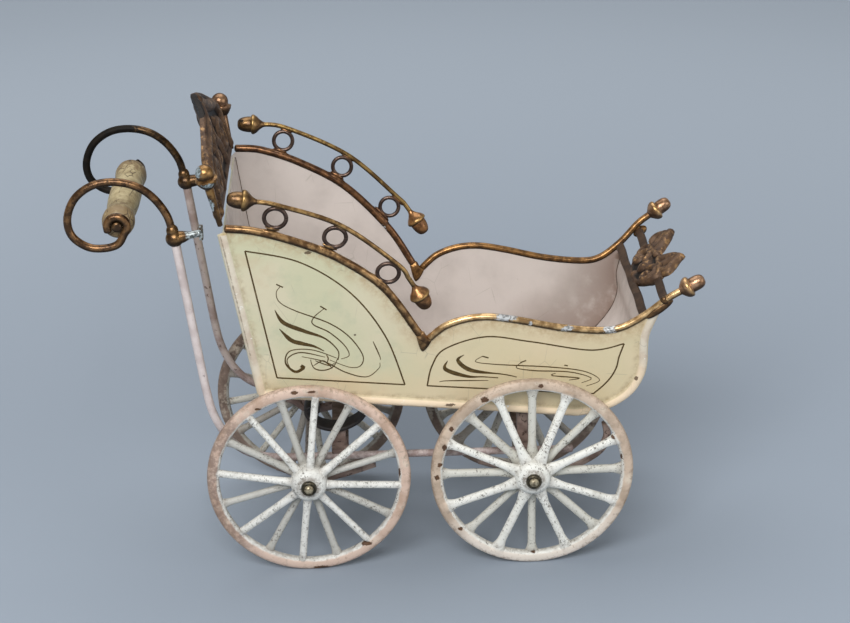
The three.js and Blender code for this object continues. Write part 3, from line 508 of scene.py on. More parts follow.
def slab(outline, step, front, back):
    """A plate between two height fields over a flat outline; points are (u, v, w)."""
    flat, faces, rim = filled(np.asarray(outline, float), step)
    count = len(flat)
    top = np.column_stack([flat, front(flat)])
    bottom = np.column_stack([flat, back(flat)])
    sides = [(a, b, b + count, a + count) for a, b in zip(rim, rim[1:] + rim[:1])]
    under = [tuple(i + count for i in reversed(f)) for f in faces]
    return np.vstack([top, bottom]), faces + under + sides


def laid(part, base, u, v, w):
    """Moves a part from (u, v, w) to its place."""
    points, faces = part
    return points @ np.array([u, v, w], float) + np.asarray(base, float), faces


def ball(centre, radii):
    """A round lump with its own radius along each axis."""
    turn = np.linspace(0, math.pi, 14)
    points, faces = revolve([(math.sin(a), -math.cos(a)) for a in turn], (0, 0, 0), (0, 0, 1), 28)
    return points * radii + np.asarray(centre, float), faces


def block(low, high, corner):
    """An upright block with round corners."""
    low, high = np.asarray(low, float), np.asarray(high, float)
    size, middle = high - low, (low + high) / 2
    section = rounded(size[0], size[1], corner)
    rings = []
    for z, share in ((low[2], 0.93), (low[2] + corner / 2, 1), (high[2] - corner / 2, 1), (high[2], 0.93)):
        rings.append(np.column_stack([middle[:2] + section * share, np.full(len(section), z)]))
    return grid(rings)


# Pieces
def add(name, data):
    """A new object in the scene."""
    obj = bpy.data.objects.new(name, data)
    bpy.context.scene.collection.objects.link(obj)
    return obj


def solid(name, parts, look, node=None, body="carriage", angle=35, marks=None, centre=None):
    """Makes one piece from parts, puts it on its body and lets it replace a CAD node.

    Its look gives the material. Marks are named values at its
    points that the material reads. A piece that turns has its origin at its centre.
    """
    place = np.zeros(3) if centre is None else (np.asarray(centre, float) - ORIGIN) * MM
    mesh = mesh_of(name, parts, place, marks or {})
    mesh.set_sharp_from_angle(angle=math.radians(angle))
    material, own_slot = looks[look]
    mesh.materials.append(material)
    obj = add(name, mesh)
    obj.location = place
    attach(obj, body)
    if node:
        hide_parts(node)


def mesh_of(name, parts, place, marks):
    points = stacked(parts)
    starts = np.cumsum([0] + [len(p) for p, _ in parts])
    faces = [tuple(i + start for i in face) for (_, group), start in zip(parts, starts) for face in group]
    mesh = bpy.data.meshes.new(name)
    mesh.from_pydata(((points - ORIGIN) * MM - place).tolist(), [], faces)
    outward(mesh)
    normals = np.empty(len(points) * 3, np.float32)
    mesh.vertices.foreach_get("normal", normals)
    # down is how far each point faces down; the looks darken by it, as painted shade underneath
    values = {"down": -normals[2::3], "seed": place @ PATTERN_STEP}
    for mark, value in (values | marks).items():
        layer = mesh.attributes.new(mark, "FLOAT", "POINT")
        layer.data.foreach_set("value", np.broadcast_to(value, len(points)).astype(np.float32))
    mesh.shade_smooth()
    return mesh


def outward(mesh):
    """Turns all faces outward."""
    bm = bmesh.new()
    bm.from_mesh(mesh)
    bmesh.ops.recalc_face_normals(bm, faces=bm.faces)
    bm.to_mesh(mesh)
    bm.free()


def stacked(parts):
    """All the points of several parts, in the order that one object holds them."""
    return np.vstack([points for points, _ in parts])


# Materials
def srgb(red, green, blue):
    """A colour from 0 to 255 in the linear values that shaders take."""
    def linear(c):
        c /= 255
        return c / 12.92 if c <= 0.04045 else ((c + 0.055) / 1.055) ** 2.4
    return (linear(red), linear(green), linear(blue), 1)


class Paint:
    """A node material, with its patterns measured in millimetres on the piece.

    A value is a socket or a number, a colour a socket or three numbers from 0 to 255. A noise is
    given as (size, detail, roughness, distortion), and spots as a noise, low, high and top.
    """

    def __init__(self, name):
        self.material = bpy.data.materials.new(name)
        self.material.use_nodes = True
        self.tree = self.material.node_tree
        self.shader = self.tree.nodes["Principled BSDF"]
        scaled = self.node("ShaderNodeVectorMath", {0: self.node("ShaderNodeTexCoord").outputs["Object"]},
                           operation="SCALE")
        scaled.inputs["Scale"].default_value = 1 / MM
        self.own = scaled.outputs[0]
        self.place = self.vector("ADD", self.own, self.mark("seed"))

    def node(self, kind, inputs=None, **settings):
        made = self.tree.nodes.new(kind)
        for key, value in settings.items():
            setattr(made, key, value)
        for key, value in (inputs or {}).items():
            self.put(made.inputs[key], value)
        return made

    def put(self, socket, value):
        if isinstance(value, bpy.types.NodeSocket):
            self.tree.links.new(value, socket)
        elif socket.type == "RGBA":
            socket.default_value = srgb(*value)
        else:
            socket.default_value = value

    def vector(self, operation, a, b):
        return self.node("ShaderNodeVectorMath", {0: a, 1: b}, operation=operation).outputs[0]

    def length(self, vector):
        return self.node("ShaderNodeVectorMath", {0: vector}, operation="LENGTH").outputs["Value"]

    def math(self, operation, a, b):
        return self.node("ShaderNodeMath", {0: a, 1: b}, operation=operation).outputs[0]

    def times(self, a, b):
        return self.math("MULTIPLY", a, b)

    def either(self, a, b):
        return self.math("MAXIMUM", a, b)

    def noise(self, size, detail=3, roughness=0.55, distortion=0):
        inputs = {"Vector": self.place, "Scale": 1 / size, "Detail": detail, "Roughness": roughness,
                  "Distortion": distortion}
        return self.node("ShaderNodeTexNoise", inputs).outputs[0]

    def ragged(self, value, noise, weight=1):
        """The value with a weighted noise on top."""
        return self.math("ADD", value, self.times(self.noise(*noise), weight))

    def cells(self, size, feature="F1", stretch=(1, 1, 1)):
        place = self.vector("MULTIPLY", self.place, stretch)
        made = self.node("ShaderNodeTexVoronoi", {"Vector": place, "Scale": 1 / size}, feature=feature)
        return made.outputs["Distance"]

    def band(self, value, low, high, top=1):
        """Rises smoothly from 0 at low to top at high; low may be the greater."""
        inputs = {"Value": value, "From Min": low, "From Max": high, "To Min": 0, "To Max": top}
        made = self.node("ShaderNodeMapRange", inputs, clamp=True, interpolation_type="SMOOTHSTEP")
        return made.outputs[0]

    def spots(self, noise, low, high, top=1):
        """Where a noise rises from low to high."""
        return self.band(self.noise(*noise), low, high, top)

    def mark(self, name):
        """A named value of the mesh, 0 where it has none."""
        return self.node("ShaderNodeAttribute", attribute_name=name).outputs["Fac"]

    def marked(self, name, *spots):
        """Spots only where the mesh is marked."""
        return self.times(self.mark(name), self.spots(*spots))

    def mix(self, a, b, share):
        return self.node("ShaderNodeMix", {0: share, 6: a, 7: b}, data_type="RGBA").outputs[2]

    def coats(self, color, *coats):
        """Lays more colours over a first one; each comes with the spots that show it."""
        for tone, *spots in coats:
            color = self.mix(color, tone, self.spots(*spots))
        return color

    def blend(self, a, b, share):
        return self.node("ShaderNodeMix", {0: share, 2: a, 3: b}, data_type="FLOAT").outputs[0]

    def along(self, axis):
        """Where a point lies on the piece, along one axis."""
        return self.node("ShaderNodeSeparateXYZ", {0: self.own}).outputs[axis]

    def patches(self, places, origin=ORIGIN):
        """Ragged patches: each a place and its half sizes along X, Y and Z."""
        total = 0
        rough = self.times(self.noise(0.9, 4, 0.75), 1.9)
        for place, size in places:
            at = tuple(np.asarray(place, float) - origin)
            away = self.length(self.vector("DIVIDE", self.vector("SUBTRACT", self.own, at), size))
            total = self.either(total, self.band(self.math("ADD", away, rough), 1.95, 1.8))
        return total

    def finish(self, color, roughness, relief=None, metallic=0, specular=0.45):
        """Sets the surface and returns the material; relief is a height and its depth in millimetres."""
        values = {"Base Color": color, "Roughness": roughness, "Metallic": metallic,
                  "Specular IOR Level": specular}
        if relief:
            height, depth = relief
            bump = self.node("ShaderNodeBump", {"Height": height, "Distance": depth * MM})
            values["Normal"] = bump.outputs[0]
        for name, value in values.items():
            self.put(self.shader.inputs[name], value)
        return self.material


def cream_coat(p, low):
    """Mottled cream, warmer forward and low down, browned beside the bronzed rails; the line at them is
    dirt and painted shade.
    """
    color = p.coats((206, 202, 168), ((216, 206, 176), (24, 2), 0.35, 0.65),
                    ((192, 193, 162), (8, 4, 0.6), 0.5, 0.72, 0.6),
                    ((204, 182, 148), (13, 5, 0.6), 0.56, 0.74, 0.5))
    forward = p.band(p.ragged(p.along("X"), (20, 3), 40), 10, 50)
    color = p.mix(color, (226, 202, 162), p.times(p.either(forward, low), 0.55))
    color = p.mix(color, (182, 152, 110), p.marked("near_rail", (2.6, 5, 0.72), 0.3, 0.66, 0.8))
    # a dark line right at the rails: dirt, and painted shade where rail meets side
    return p.mix(color, (96, 70, 42), p.band(p.ragged(p.mark("rail_line"), (1.2, 3)), 1.15, 1.45, 0.85))


def bead_coat(p, low):
    """The rounded edge: paler than the side, with bare and brown spots."""
    color = p.coats((222, 211, 190), ((206, 188, 166), (6, 4, 0.65), 0.4, 0.68))
    color = p.mix(color, (248, 224, 190), p.times(low, 0.8))
    return p.coats(color, ((246, 244, 236), (2.1, 5, 0.7), 0.62, 0.67),
                   ((150, 122, 90), (1.7, 5, 0.8), 0.66, 0.74, 0.8))


def outer_coat(p):
    """The side and its edge, with a crack in the rear edge and dirt where the edge meets the side."""
    low = p.band(p.ragged(p.along("Z"), (16, 3), 24), 78, 66)
    color = p.mix(cream_coat(p, low), bead_coat(p, low), p.band(p.mark("bead"), 0.25, 0.6))
    crack = p.band(p.ragged(p.mark("crack"), (1.6, 4, 0.7), 1.8), 1.4, 1.8, 0.6)
    color = p.mix(color, (118, 98, 72), crack)
    return p.mix(color, (156, 132, 96), p.marked("bead_line", (2.2, 4, 0.7), 0.32, 0.7, 0.65))


def lining_coat(p):
    """Pinkish grey, darker towards the foot end's sheet as painted shade."""
    color = p.coats((203, 193, 186), ((186, 176, 169), (16, 4), 0.4, 0.7),
                    ((166, 150, 138), (1.3, 3, 0.8), 0.66, 0.8, 0.5))
    # painted shade before the foot end's sheet
    return p.mix(color, (132, 112, 101), p.marked("painted_shade", (7, 4, 0.6), 0.1, 0.5))


def cream_enamel(name):
    """Cream paint outside and grey lining inside, with specks and scratches over both."""
    p = Paint(name)
    lining = p.mark("lining")
    color = p.mix(outer_coat(p), lining_coat(p), lining)
    color = p.mix(color, (92, 68, 44), p.times(p.mark("tip"), lining))
    speck = p.times(p.band(p.cells(6.5), 0.045, 0.025), p.spots((9, 1), 0.5, 0.6))
    speck = p.either(speck, p.patches(PANEL_CHIPS))
    color = p.mix(color, (84, 62, 40), p.times(speck, 0.85))
    scratch = p.band(p.cells(7, "DISTANCE_TO_EDGE", (1, 1, 0.5)), 0.012, 0)
    color = p.mix(color, (140, 134, 116), p.times(scratch, p.spots((11, 1), 0.53, 0.6, 0.35)))
    # darker where faces turn down: painted shade underneath
    color = p.mix(color, (150, 134, 110), p.band(p.mark("down"), 0.75, 1, 0.35))
    height = p.ragged(p.ragged(p.times(speck, -2), (0.8, 3), 0.4), (7, 2), 1.6)
    return p.finish(color, p.blend(0.36, 0.58, p.spots((4, 4), 0.35, 0.7)), (height, 0.05))


def worn_bronze(name, bright, deep, grime_and_shade, wear=0.5, chips=(), bare_metal=SILVERY):
    """Bronze, nearly black in patches of patina and, as painted shade, underneath, with bare metal at its
    chips.
    """
    p = Paint(name)
    color = p.coats(bright, (deep, (2.4, 5, 0.65), 0.4, 0.6))
    color = p.mix(color, (206, 168, 104), p.times(p.mark("lip"), 0.5))
    patina = p.ragged(p.times(p.mark("tarnish"), 0.5), (1.5, 5, 0.75))
    dirt_and_shade = p.band(patina, 0.78 - wear * 0.3, 0.86 - wear * 0.26)
    # faces turned down take the grime colour too: painted shade underneath
    dirt_and_shade = p.either(dirt_and_shade, p.band(p.ragged(p.mark("down"), (1.8, 4), 0.7), 0.15, 0.75, 0.95))
    color = p.mix(color, grime_and_shade, p.times(dirt_and_shade, 0.94))
    shine = p.blend(0.72, 0.1, dirt_and_shade)
    height = p.ragged(p.noise(0.7, 4, 0.6), (2.5, 3), 1.2)
    if chips:
        bare = p.patches(chips)
        light, dark = bare_metal
        color = p.mix(color, p.coats(light, (dark, (0.8, 3), 0.42, 0.6)), bare)
        shine = p.blend(shine, 0.2, bare)
        height = p.math("ADD", height, p.times(bare, -1.5))
    return p.finish(color, p.blend(0.29, 0.55, dirt_and_shade), (height, 0.035), shine, p.blend(0.5, 0.15, dirt_and_shade))


def relief_bronze(name):
    """Cast ornament: nearly black in its hollows and, as painted shade, underneath; brown on its swells,
    rubbed gold here and there.
    """
    p = Paint(name)
    raised = p.mark("raised")
    dark = p.coats((74, 55, 42), ((104, 80, 60), (4, 4, 0.6), 0.38, 0.66))
    dark = p.mix((22, 16, 12), dark, p.band(raised, 0.08, 0.48))
    dark = p.coats(dark, ((40, 29, 22), (1.5, 4, 0.7), 0.58, 0.66, 0.8))
    # gold where raised; on the crest's low right rim it is painted highlight as well as wear
    rubbed = p.times(p.band(raised, 0.6, 1), p.spots((1.9, 5, 0.7), 0.48, 0.64))
    color = p.mix(dark, (190, 148, 98), p.times(rubbed, 0.85))
    color = p.coats(color, ((100, 116, 112), (2.6, 5, 0.7), 0.65, 0.7, 0.5))
    # nearly black where faces turn down: painted shade underneath
    color = p.mix(color, (30, 24, 20), p.band(p.mark("down"), 0.2, 0.8, 0.85))
    height = p.ragged(p.noise(0.7, 4, 0.6), (2.2, 3), 1.4)
    ends = ((0.48, 0.34), (0.2, 0.65), (0.25, 0.5))
    roughness, shine, specular = (p.blend(dull, bright, rubbed) for dull, bright in ends)
    return p.finish(color, roughness, (height, 0.06), shine, specular)


def spoke_coat(p, white, grey):
    """Pale, greyer on the far row of spokes as painted shade, with dark specks."""
    color = p.coats(white, (grey, (4, 4, 0.6), 0.48, 0.8, 0.7))
    # the far row greyer: painted shade behind the near row
    color = p.mix(color, grey, p.times(p.mark("row"), 0.75))
    color = p.coats(color, (grey, (1.4, 5, 0.75), 0.5, 0.62, 0.55))
    speck = p.ragged(p.noise(0.7, 5, 0.78), (4.5, 3, 0.6), 0.35)
    return p.mix(color, (84, 76, 66), p.band(speck, 0.755, 0.8, 0.85))


def tyre_coat(p, pink, shade, low, painted_shade):
    """Pinkish, of another tone low down, with patches of painted shade towards -X, and worn in patches, a
    little more at its outer edge as painted shade.
    """
    color = p.coats(pink, (shade, (9, 4, 0.6), 0.42, 0.62),
                    ((228, 216, 196), (6, 4, 0.65), 0.54, 0.68, 0.6))
    color = p.mix(color, low, p.band(p.ragged(p.along("Z"), (9, 3), 16), 0, -18, 0.85))
    # patches of painted shade towards -X
    rear = p.band(p.ragged(p.along("X"), (6, 4), 14), -6, -20, painted_shade)
    color = p.mix(color, (118, 98, 88), p.times(rear, p.spots((2, 4, 0.7), 0.3, 0.6)))
    # wear, a little more towards the outer edge, where it is painted shade on the rounded rim
    worn_and_edge_shade = p.ragged(p.times(p.mark("edge"), 0.1), (1.5, 5, 0.78))
    return p.mix(color, (150, 128, 110), p.band(worn_and_edge_shade, 0.53, 0.72, 0.7))


def wheel_enamel(name, white, grey, pink, shade, low, chips=(), painted_shade=0):
    """Pale spokes and a pinkish tyre, with dark chips where the paint has gone."""
    p = Paint(name)
    border = p.band(p.ragged(p.mark("tyre"), (2.2, 4), 0.7), 0.57, 1.05)
    color = p.mix(spoke_coat(p, white, grey), tyre_coat(p, pink, shade, low, painted_shade), border)
    # darker near the bore, the rim's inner edge and the hub: dirt, and painted shade where spokes meet them
    color = p.mix(color, (112, 96, 82), p.marked("grime_and_shade", (1.5, 4, 0.7), 0.3, 0.62, 0.85))
    chip = p.either(p.spots((2.3, 5, 0.7, 0.4), 0.7, 0.72), p.patches(chips, (0, 0, 0)))
    color = p.mix(color, p.mix((58, 42, 32), (112, 78, 50), p.noise(3, 2)), chip)
    height = p.ragged(p.times(chip, -1.4), (0.9, 4, 0.6), 0.8)
    return p.finish(color, p.blend(0.4, 0.62, p.noise(2, 3)), (height, 0.08))


def flaked_enamel(name, light, dark, under, flakes=0.66):
    """Mottled paint, darker low down where marked as painted shade of the tub, that flakes where its noise
    passes the last value.
    """
    p = Paint(name)
    color = p.coats(light, (dark, (5, 4), 0.38, 0.66))
    # darker low down where marked: painted shade of the tub
    color = p.mix(color, (126, 102, 96), p.marked("low", (3, 5, 0.7), 0.3, 0.62, 0.8))
    chip = p.spots((1.9, 5, 0.7), flakes, flakes + 0.03)
    color = p.mix(color, under, p.times(chip, 0.85))
    height = p.ragged(p.times(chip, -1), (0.9, 4), 0.6)
    return p.finish(color, p.blend(0.45, 0.65, p.noise(2, 3)), (height, 0.08))


def nut_metal(name):
    """A dark brown nut with the bright end of the axle in it."""
    p = Paint(name)
    brown = p.coats((88, 80, 62), ((42, 39, 31), (0.9, 4, 0.7), 0.38, 0.6))
    steel = p.coats((188, 176, 148), ((110, 99, 80), (1.1, 4, 0.7), 0.4, 0.62))
    color = p.mix(brown, steel, p.band(p.mark("dome"), 0.4, 0.6))
    return p.finish(color, p.blend(0.3, 0.5, p.noise(1, 3)), (p.noise(0.5, 4), 0.03), 0.6, 0.5)


def axle_steel(name):
    p = Paint(name)
    color = p.coats((158, 148, 138), ((88, 76, 66), (1.4, 4, 0.7), 0.42, 0.66))
    return p.finish(color, p.blend(0.4, 0.6, p.noise(1, 3)), (p.noise(0.6, 4), 0.05), 0.7, 0.5)


def turned_wood(name):
    """Cream painted wood, rubbed brown at the ends and in spots, browner underneath as painted shade, with
    fine cracks.
    """
    p = Paint(name)
    color = p.coats((196, 181, 141), ((164, 146, 107), (5, 4), 0.38, 0.66))
    rubbed = p.ragged(p.times(p.mark("end"), 0.26), (1.9, 5, 0.75))
    color = p.mix(color, (130, 108, 76), p.band(rubbed, 0.5, 0.72, 0.9))
    # browner where faces turn down: painted shade underneath
    color = p.mix(color, (112, 90, 60), p.band(p.mark("down"), 0, 0.8, 0.6))
    crack = p.band(p.cells(3.6, "DISTANCE_TO_EDGE", (1, 0.45, 1)), 0.03, 0)
    crack = p.times(crack, p.spots((6, 1), 0.47, 0.54))
    color = p.mix(color, (72, 52, 32), p.times(crack, 0.9))
    height = p.ragged(p.times(crack, -1.5), (0.8, 4), 0.7)
    return p.finish(color, p.blend(0.4, 0.6, p.noise(2, 3)), (height, 0.13))


def line_paint(name):
    p = Paint(name)
    return p.finish(p.coats((76, 57, 20), ((108, 87, 46), (1.6, 4, 0.7), 0.5, 0.72)), 0.5, specular=0.4)


def seam_dirt(name):
    p = Paint(name)
    color = p.coats((108, 92, 82), ((70, 58, 50), (2, 4, 0.7), 0.4, 0.6))
    return p.finish(color, 0.8, (p.noise(0.6, 4), 0.05), specular=0.2)


# Side frames: places on the leaning side planes
def half_width(height, out=0.0):
    """From the middle to a side's middle plane at a height, and out from it."""
    return BODY_HALF_WIDTH + (height - BODY_DATUM_HEIGHT) * math.tan(FLARE) + out * math.cos(FLARE)


def on_side(sign, flat, out=0.0):
    """Flat (x, height) points on a side's middle plane, and out from it."""
    flat = np.asarray(flat, float)
    out = np.broadcast_to(out, len(flat))
    y = sign * half_width(flat[:, 1], out)
    return np.column_stack([flat[:, 0], y, flat[:, 1] - out * math.sin(FLARE)])


def out_of(sign):
    return np.array([0, sign * math.cos(FLARE), -math.sin(FLARE)])


def out_from(sign, points):
    """How far points stand out of a side's middle plane."""
    lean = (points[:, 2] - BODY_DATUM_HEIGHT) * math.sin(FLARE)
    return (points[:, 1] * sign - BODY_HALF_WIDTH) * math.cos(FLARE) - lean


def slant(path):
    """From (x, height) to (x, distance up the leaning plane)."""
    return np.column_stack([path[:, 0], (path[:, 1] - BODY_DATUM_HEIGHT) / math.cos(FLARE)])


def upright(path):
    """Back from (x, distance up the leaning plane) to (x, height)."""
    return np.column_stack([path[:, 0], path[:, 1] * math.cos(FLARE) + BODY_DATUM_HEIGHT])


def edge_path(side):
    """The side's free edge, from the head end's top round the bottom to the foot end's tip."""
    corner = 1.6
    down = unit(np.subtract(REAR_BOTTOM, REAR_TOP))
    forward = unit(np.subtract(FRONT_EDGE[0], REAR_BOTTOM))
    start, end = REAR_BOTTOM - down * corner, REAR_BOTTOM + forward * corner
    t = np.linspace(0, 1, 9)[:, None]
    bend = start * (1 - t) ** 2 + np.array(REAR_BOTTOM) * 2 * t * (1 - t) + end * t**2
    return even(np.vstack([[REAR_TOP], bend, spline(FRONT_EDGE + side["tip"], 80)]), 0.9)


def arch_path(side):
    return even(spline(side["arch"], 100), 0.8)


def foot_rail_path(side):
    return even(spline(FOOT_RAIL + side["foot_end"], 160), 0.8)


def beside_arch(side, station, distance):
    fine = spline(side["arch"], 400)
    return offset(fine, distance)[np.argmax(fine[:, 0] >= station)]


def gallery_path(side):
    over = []
    for station, radius, _ in side["rings"]:
        over.append(beside_arch(side, station, ARCH_RADIUS + 2 * SEAT_GAP + 2 * radius + GALLERY_RADIUS))
    return even(spline([GALLERY_HEAD] + over + side["tail"], 120), 0.7)


def panel_outline(side):
    top = offset(arch_path(side), -ARCH_RADIUS * 0.6)
    foot = offset(foot_rail_path(side), -FOOT_RAIL_RADIUS * 0.6)
    foot = foot[foot[:, 0] < side["tip"][-1][0] - 0.6]
    return np.vstack([edge_path(side), foot[::-1], [JUNCTION[-1]], top[::-1]])


def dents(flat):
    """The sides are hand flattened: slow waves, never far from the plane."""
    return 0.06 * np.sin(flat[:, 0] / 7.3 + 1) * np.sin(flat[:, 1] / 9.1)


# Sides
def make_side(name):
    side, sign = SIDES[name], SIGNS[name]
    make_panel(name, side, sign)
    foot, gallery = foot_rail_path(side), gallery_path(side)
    wires = [("arch", arch_path(side), ARCH_RADIUS, "arch_rail"),
             ("rail", foot, FOOT_RAIL_RADIUS, "foot_rail"),
             ("gallery", gallery, GALLERY_RADIUS, "gallery_rod")]
    for piece, path, radius, node in wires:
        wire = tube(on_side(sign, path), out_of(sign), radius)
        solid(f"{name}_{piece}", [wire], f"{PLACES[sign]}_{piece}", f"{name}_{node}")
    make_junction(name, sign)
    finials = [("rail_acorn", foot[::-1], "foot_rail_finial"),
               ("head_acorn", gallery, "gallery_head_finial"),
               ("foot_acorn", gallery[::-1], "gallery_foot_finial")]
    for piece, path, node in finials:
        make_acorn(f"{name}_{piece}", on_side(sign, path[[FINIAL_RUN, 0]]), piece, f"{name}_{node}")
    for i, (station, _, above) in enumerate(side["rings"]):
        make_ring(f"{name}_ring_{i + 1}", side, sign, station, above, f"{name}_gallery_ring_{i + 1}")
    make_post(name, sign)
    make_lines(name, sign)


def make_panel(name, side, sign):
    """A side's sheet with the rounded bead on its free edge, and the dirt where the tub meets it."""
    sheet = slab(panel_outline(side), 1.3, lambda f: SHEET / 2 + dents(f), lambda f: dents(f) - SHEET / 2)
    sheet = on_side(sign, sheet[0][:, :2], sheet[0][:, 2]), sheet[1]
    edge = slant(edge_path(side))
    runs = [on_side(sign, upright(offset(edge, inward)), out) for inward, out in BEAD_SECTION]
    bead = grid(np.stack(runs, 1))
    points = stacked([sheet, bead])
    marks = panel_marks(side, points[:, [0, 2]], out_from(sign, points))
    solid(f"{name}_side", [sheet, bead], "cream", f"{name}_side_panel", angle=50, marks=marks)
    seam = offset(spline(tub_line(), 200), SHEET / 2)
    wire = tube(on_side(sign, seam, -SHEET / 2 - 0.05), out_of(sign), SEAM_RADIUS, 8)
    solid(f"{name}_seam", [wire], "seam")


def panel_marks(side, flat, out):
    """Where each coat of the cream look lies on a side."""
    edge = edge_path(side)
    rear_edge = edge[:60]
    to_rail = np.minimum(distance_to(flat, arch_path(side)), distance_to(flat, foot_rail_path(side)))
    outside = (out > -0.2) * 1.0
    crack = ramp(np.abs(distance_to(flat, rear_edge) - 0.85), 0.5, 0) * ramp(flat[:, 1], 62, 72)
    return {
        "lining": 1 - outside,
        "bead": ramp(out, 0.5, 1),
        "bead_line": outside * ramp(np.abs(distance_to(flat, edge) - BEAD_SECTION[0][0]), 0.99, 0.09),
        "near_rail": outside * ramp(to_rail, 5.5, 1),
        "rail_line": outside * ramp(to_rail, 1.9, 1),
        "painted_shade": shade_beside(flat),
        "tip": ramp(flat[:, 0], 98, 99.2),
        "crack": outside * crack,
    }


def shade_beside(flat):
    """Painted shade: the lining darkens towards the foot end's sheet, and has none beyond it."""
    sheet = spline(FRONT_SHEET, 60)
    behind = flat[:, 0] < np.interp(flat[:, 1], sheet[:, 1], sheet[:, 0]) + 0.4
    return behind * ramp(distance_to(flat, sheet), 20, 0)


def make_lines(name, sign):
    """Painted lines on a side's outer face, as thick as the paint."""
    top, bottom = SHEET / 2 + LINE_THICKNESS, SHEET / 2 - 0.2
    strokes = []
    for points, widths in LINES:
        line = even(slant(spline(points, 24 * len(points))), 0.45)
        half = spread(widths, len(line))[:, None] / 2
        left, right = (upright(line + lefts(line) * half * turn) for turn in (1, -1))
        edges = [(left, bottom), (left, top), (right, top), (right, bottom)]
        strokes.append(grid(np.stack([on_side(sign, edge, out + dents(edge)) for edge, out in edges], 1)))
    solid(f"{name}_lines", strokes, "line")


def make_ring(name, side, sign, station, above, node):
    """A wire ring between the arch and the gallery rod, with solder where it touches each."""
    centre = on_side(sign, [beside_arch(side, station, above)])[0]
    outer = side["ring_radius"]
    radius = outer - RING_WIRE_RADIUS
    across = out_of(sign)
    up = np.cross((1, 0, 0), across)
    points = [centre + radius * (c * np.array([1, 0, 0]) + s * up) for c, s in circle(65, 0)]
    points.append(points[0])
    section = rounded(2 * RING_WIRE_RADIUS, 2.1 * RING_WIRE_RADIUS, RING_WIRE_RADIUS * 0.95)
    solid(name, [sweep(points, across, section)], "ring", node)
    pools = [(ARCH_RADIUS * 0.5, 3.8, 0.95), (above - outer + 0.35, 2.0, 0.75),
             (above + outer - 0.15, 1.7, 0.6)]
    solder = [pool(sign, side, station, *place) for place in pools]
    solid(f"{name}_solder", solder, f"{PLACES[sign]}_arch")


def pool(sign, side, station, above, length, depth):
    """A smooth lens of solder that follows the arch at a height above it."""
    t = np.linspace(-1, 1, 17)
    points = [beside_arch(side, max(station + length * x, side["arch"][0][0] + 0.2), above) for x in t]
    swell = np.maximum(1 - t**2, 0.004) ** 0.8
    return sweep(on_side(sign, points), out_of(sign), circle(16) * depth * swell[:, None, None])


def acorn_profile(swell):
    """Radius and height of a finial: its nut, and a cup from a trumpet (swell 0) to a bulb (swell 1)."""
    nut, ridge, length = 2.45, 3.05, 7.5
    cup = length * 0.38
    profile = [(0, -0.9), (0.75, -0.9), (0.85, -0.4), (1.15 + 0.3 * swell, 0.1),
               (1.75 + 0.55 * swell, cup * 0.3), (2.4 + 0.4 * swell, cup * 0.52),
               (ridge * (0.93 + 0.06 * swell), cup * 0.74), (ridge, cup * 0.9),
               (ridge * (0.99 - 0.03 * swell), cup * 1.04), (ridge * (0.9 - 0.08 * swell), cup * 1.14),
               (nut * (0.97 - 0.12 * swell), cup * 1.18)]
    seat = cup * 1.18
    for angle in np.linspace(0.06, math.pi / 2, 12):
        waist = 1 - 0.12 * swell * math.cos(angle) ** 6
        profile.append((nut * waist * math.cos(angle) ** 0.62, seat + (length - seat) * math.sin(angle)))
    return profile


def make_acorn(name, ends, look, node):
    """A finial on the last stretch of a wire."""
    before, end = ends
    axis = unit(end - before)
    cup = revolve(acorn_profile(look == "rail_acorn"), end - axis * 0.1, axis)
    height = (cup[0] - end) @ axis
    marks = {"lip": ramp(np.abs(height - 2.6), 0.77, 0.22),
             "tarnish": ramp(height, 4, 12) * (look == "head_acorn")}
    solid(name, [cup], look, node, angle=50, marks=marks)


def make_junction(name, sign):
    """The solid V where the arch and the foot rail meet."""
    middle = np.mean(JUNCTION, 0)
    levels = [(0.4, 0.99), (0.75, 0.86), (0.95, 0.55), (1, 0), (0.95, -0.55), (0.75, -0.86), (0.4, -0.99)]
    fine = even(spline(closed(JUNCTION), 60), 0.4)[:-1]
    rings = [on_side(sign, middle + (fine - middle) * share, out * ARCH_RADIUS) for share, out in levels]
    look = "near_arch" if sign < 0 else "far_rail"
    solid(f"{name}_junction", [grid(rings)], look, f"{name}_rail_junction")


def make_post(name, sign):
    """The wire that carries the crest, and the acorn ball on top of it."""
    foot, top = on_side(sign, [POST_FOOT, SIDES[name]["post_top"]])
    axis = unit(top - foot)
    height = np.linalg.norm(top - foot)
    stem = revolve([(0, -0.2), (0.75, -0.2), (0.9, height * 0.3), (1.15, height * 0.7),
                    (1.3, height), (0, height)], foot, axis)
    acorn = [(0, -0.3), (1.4, -0.3), (2.0, 0.3), (2.8, 1.4), (3.2, 2.2), (3.1, 2.6), (2.4, 2.9)]
    for angle in np.linspace(-0.35, math.pi / 2, 14):
        acorn.append((POST_BALL_RADIUS * math.cos(angle), 4.2 + POST_BALL_RADIUS * math.sin(angle)))
    solid(f"{name}_post", [stem, revolve(acorn, top, axis)], f"{PLACES[sign]}_post", f"{name}_crest_post",
          angle=50)


# Tub sheets
def tub_line():
    """The middle of the back and floor sheets, from the top of the back to the foot end."""
    line = upright(offset(slant(edge_path(SIDES["right"])), FLOOR_INSET))
    return np.vstack([line[line[:, 0] < FRONT_SHEET[0][0] - 2], spline(FRONT_SHEET, 60)])


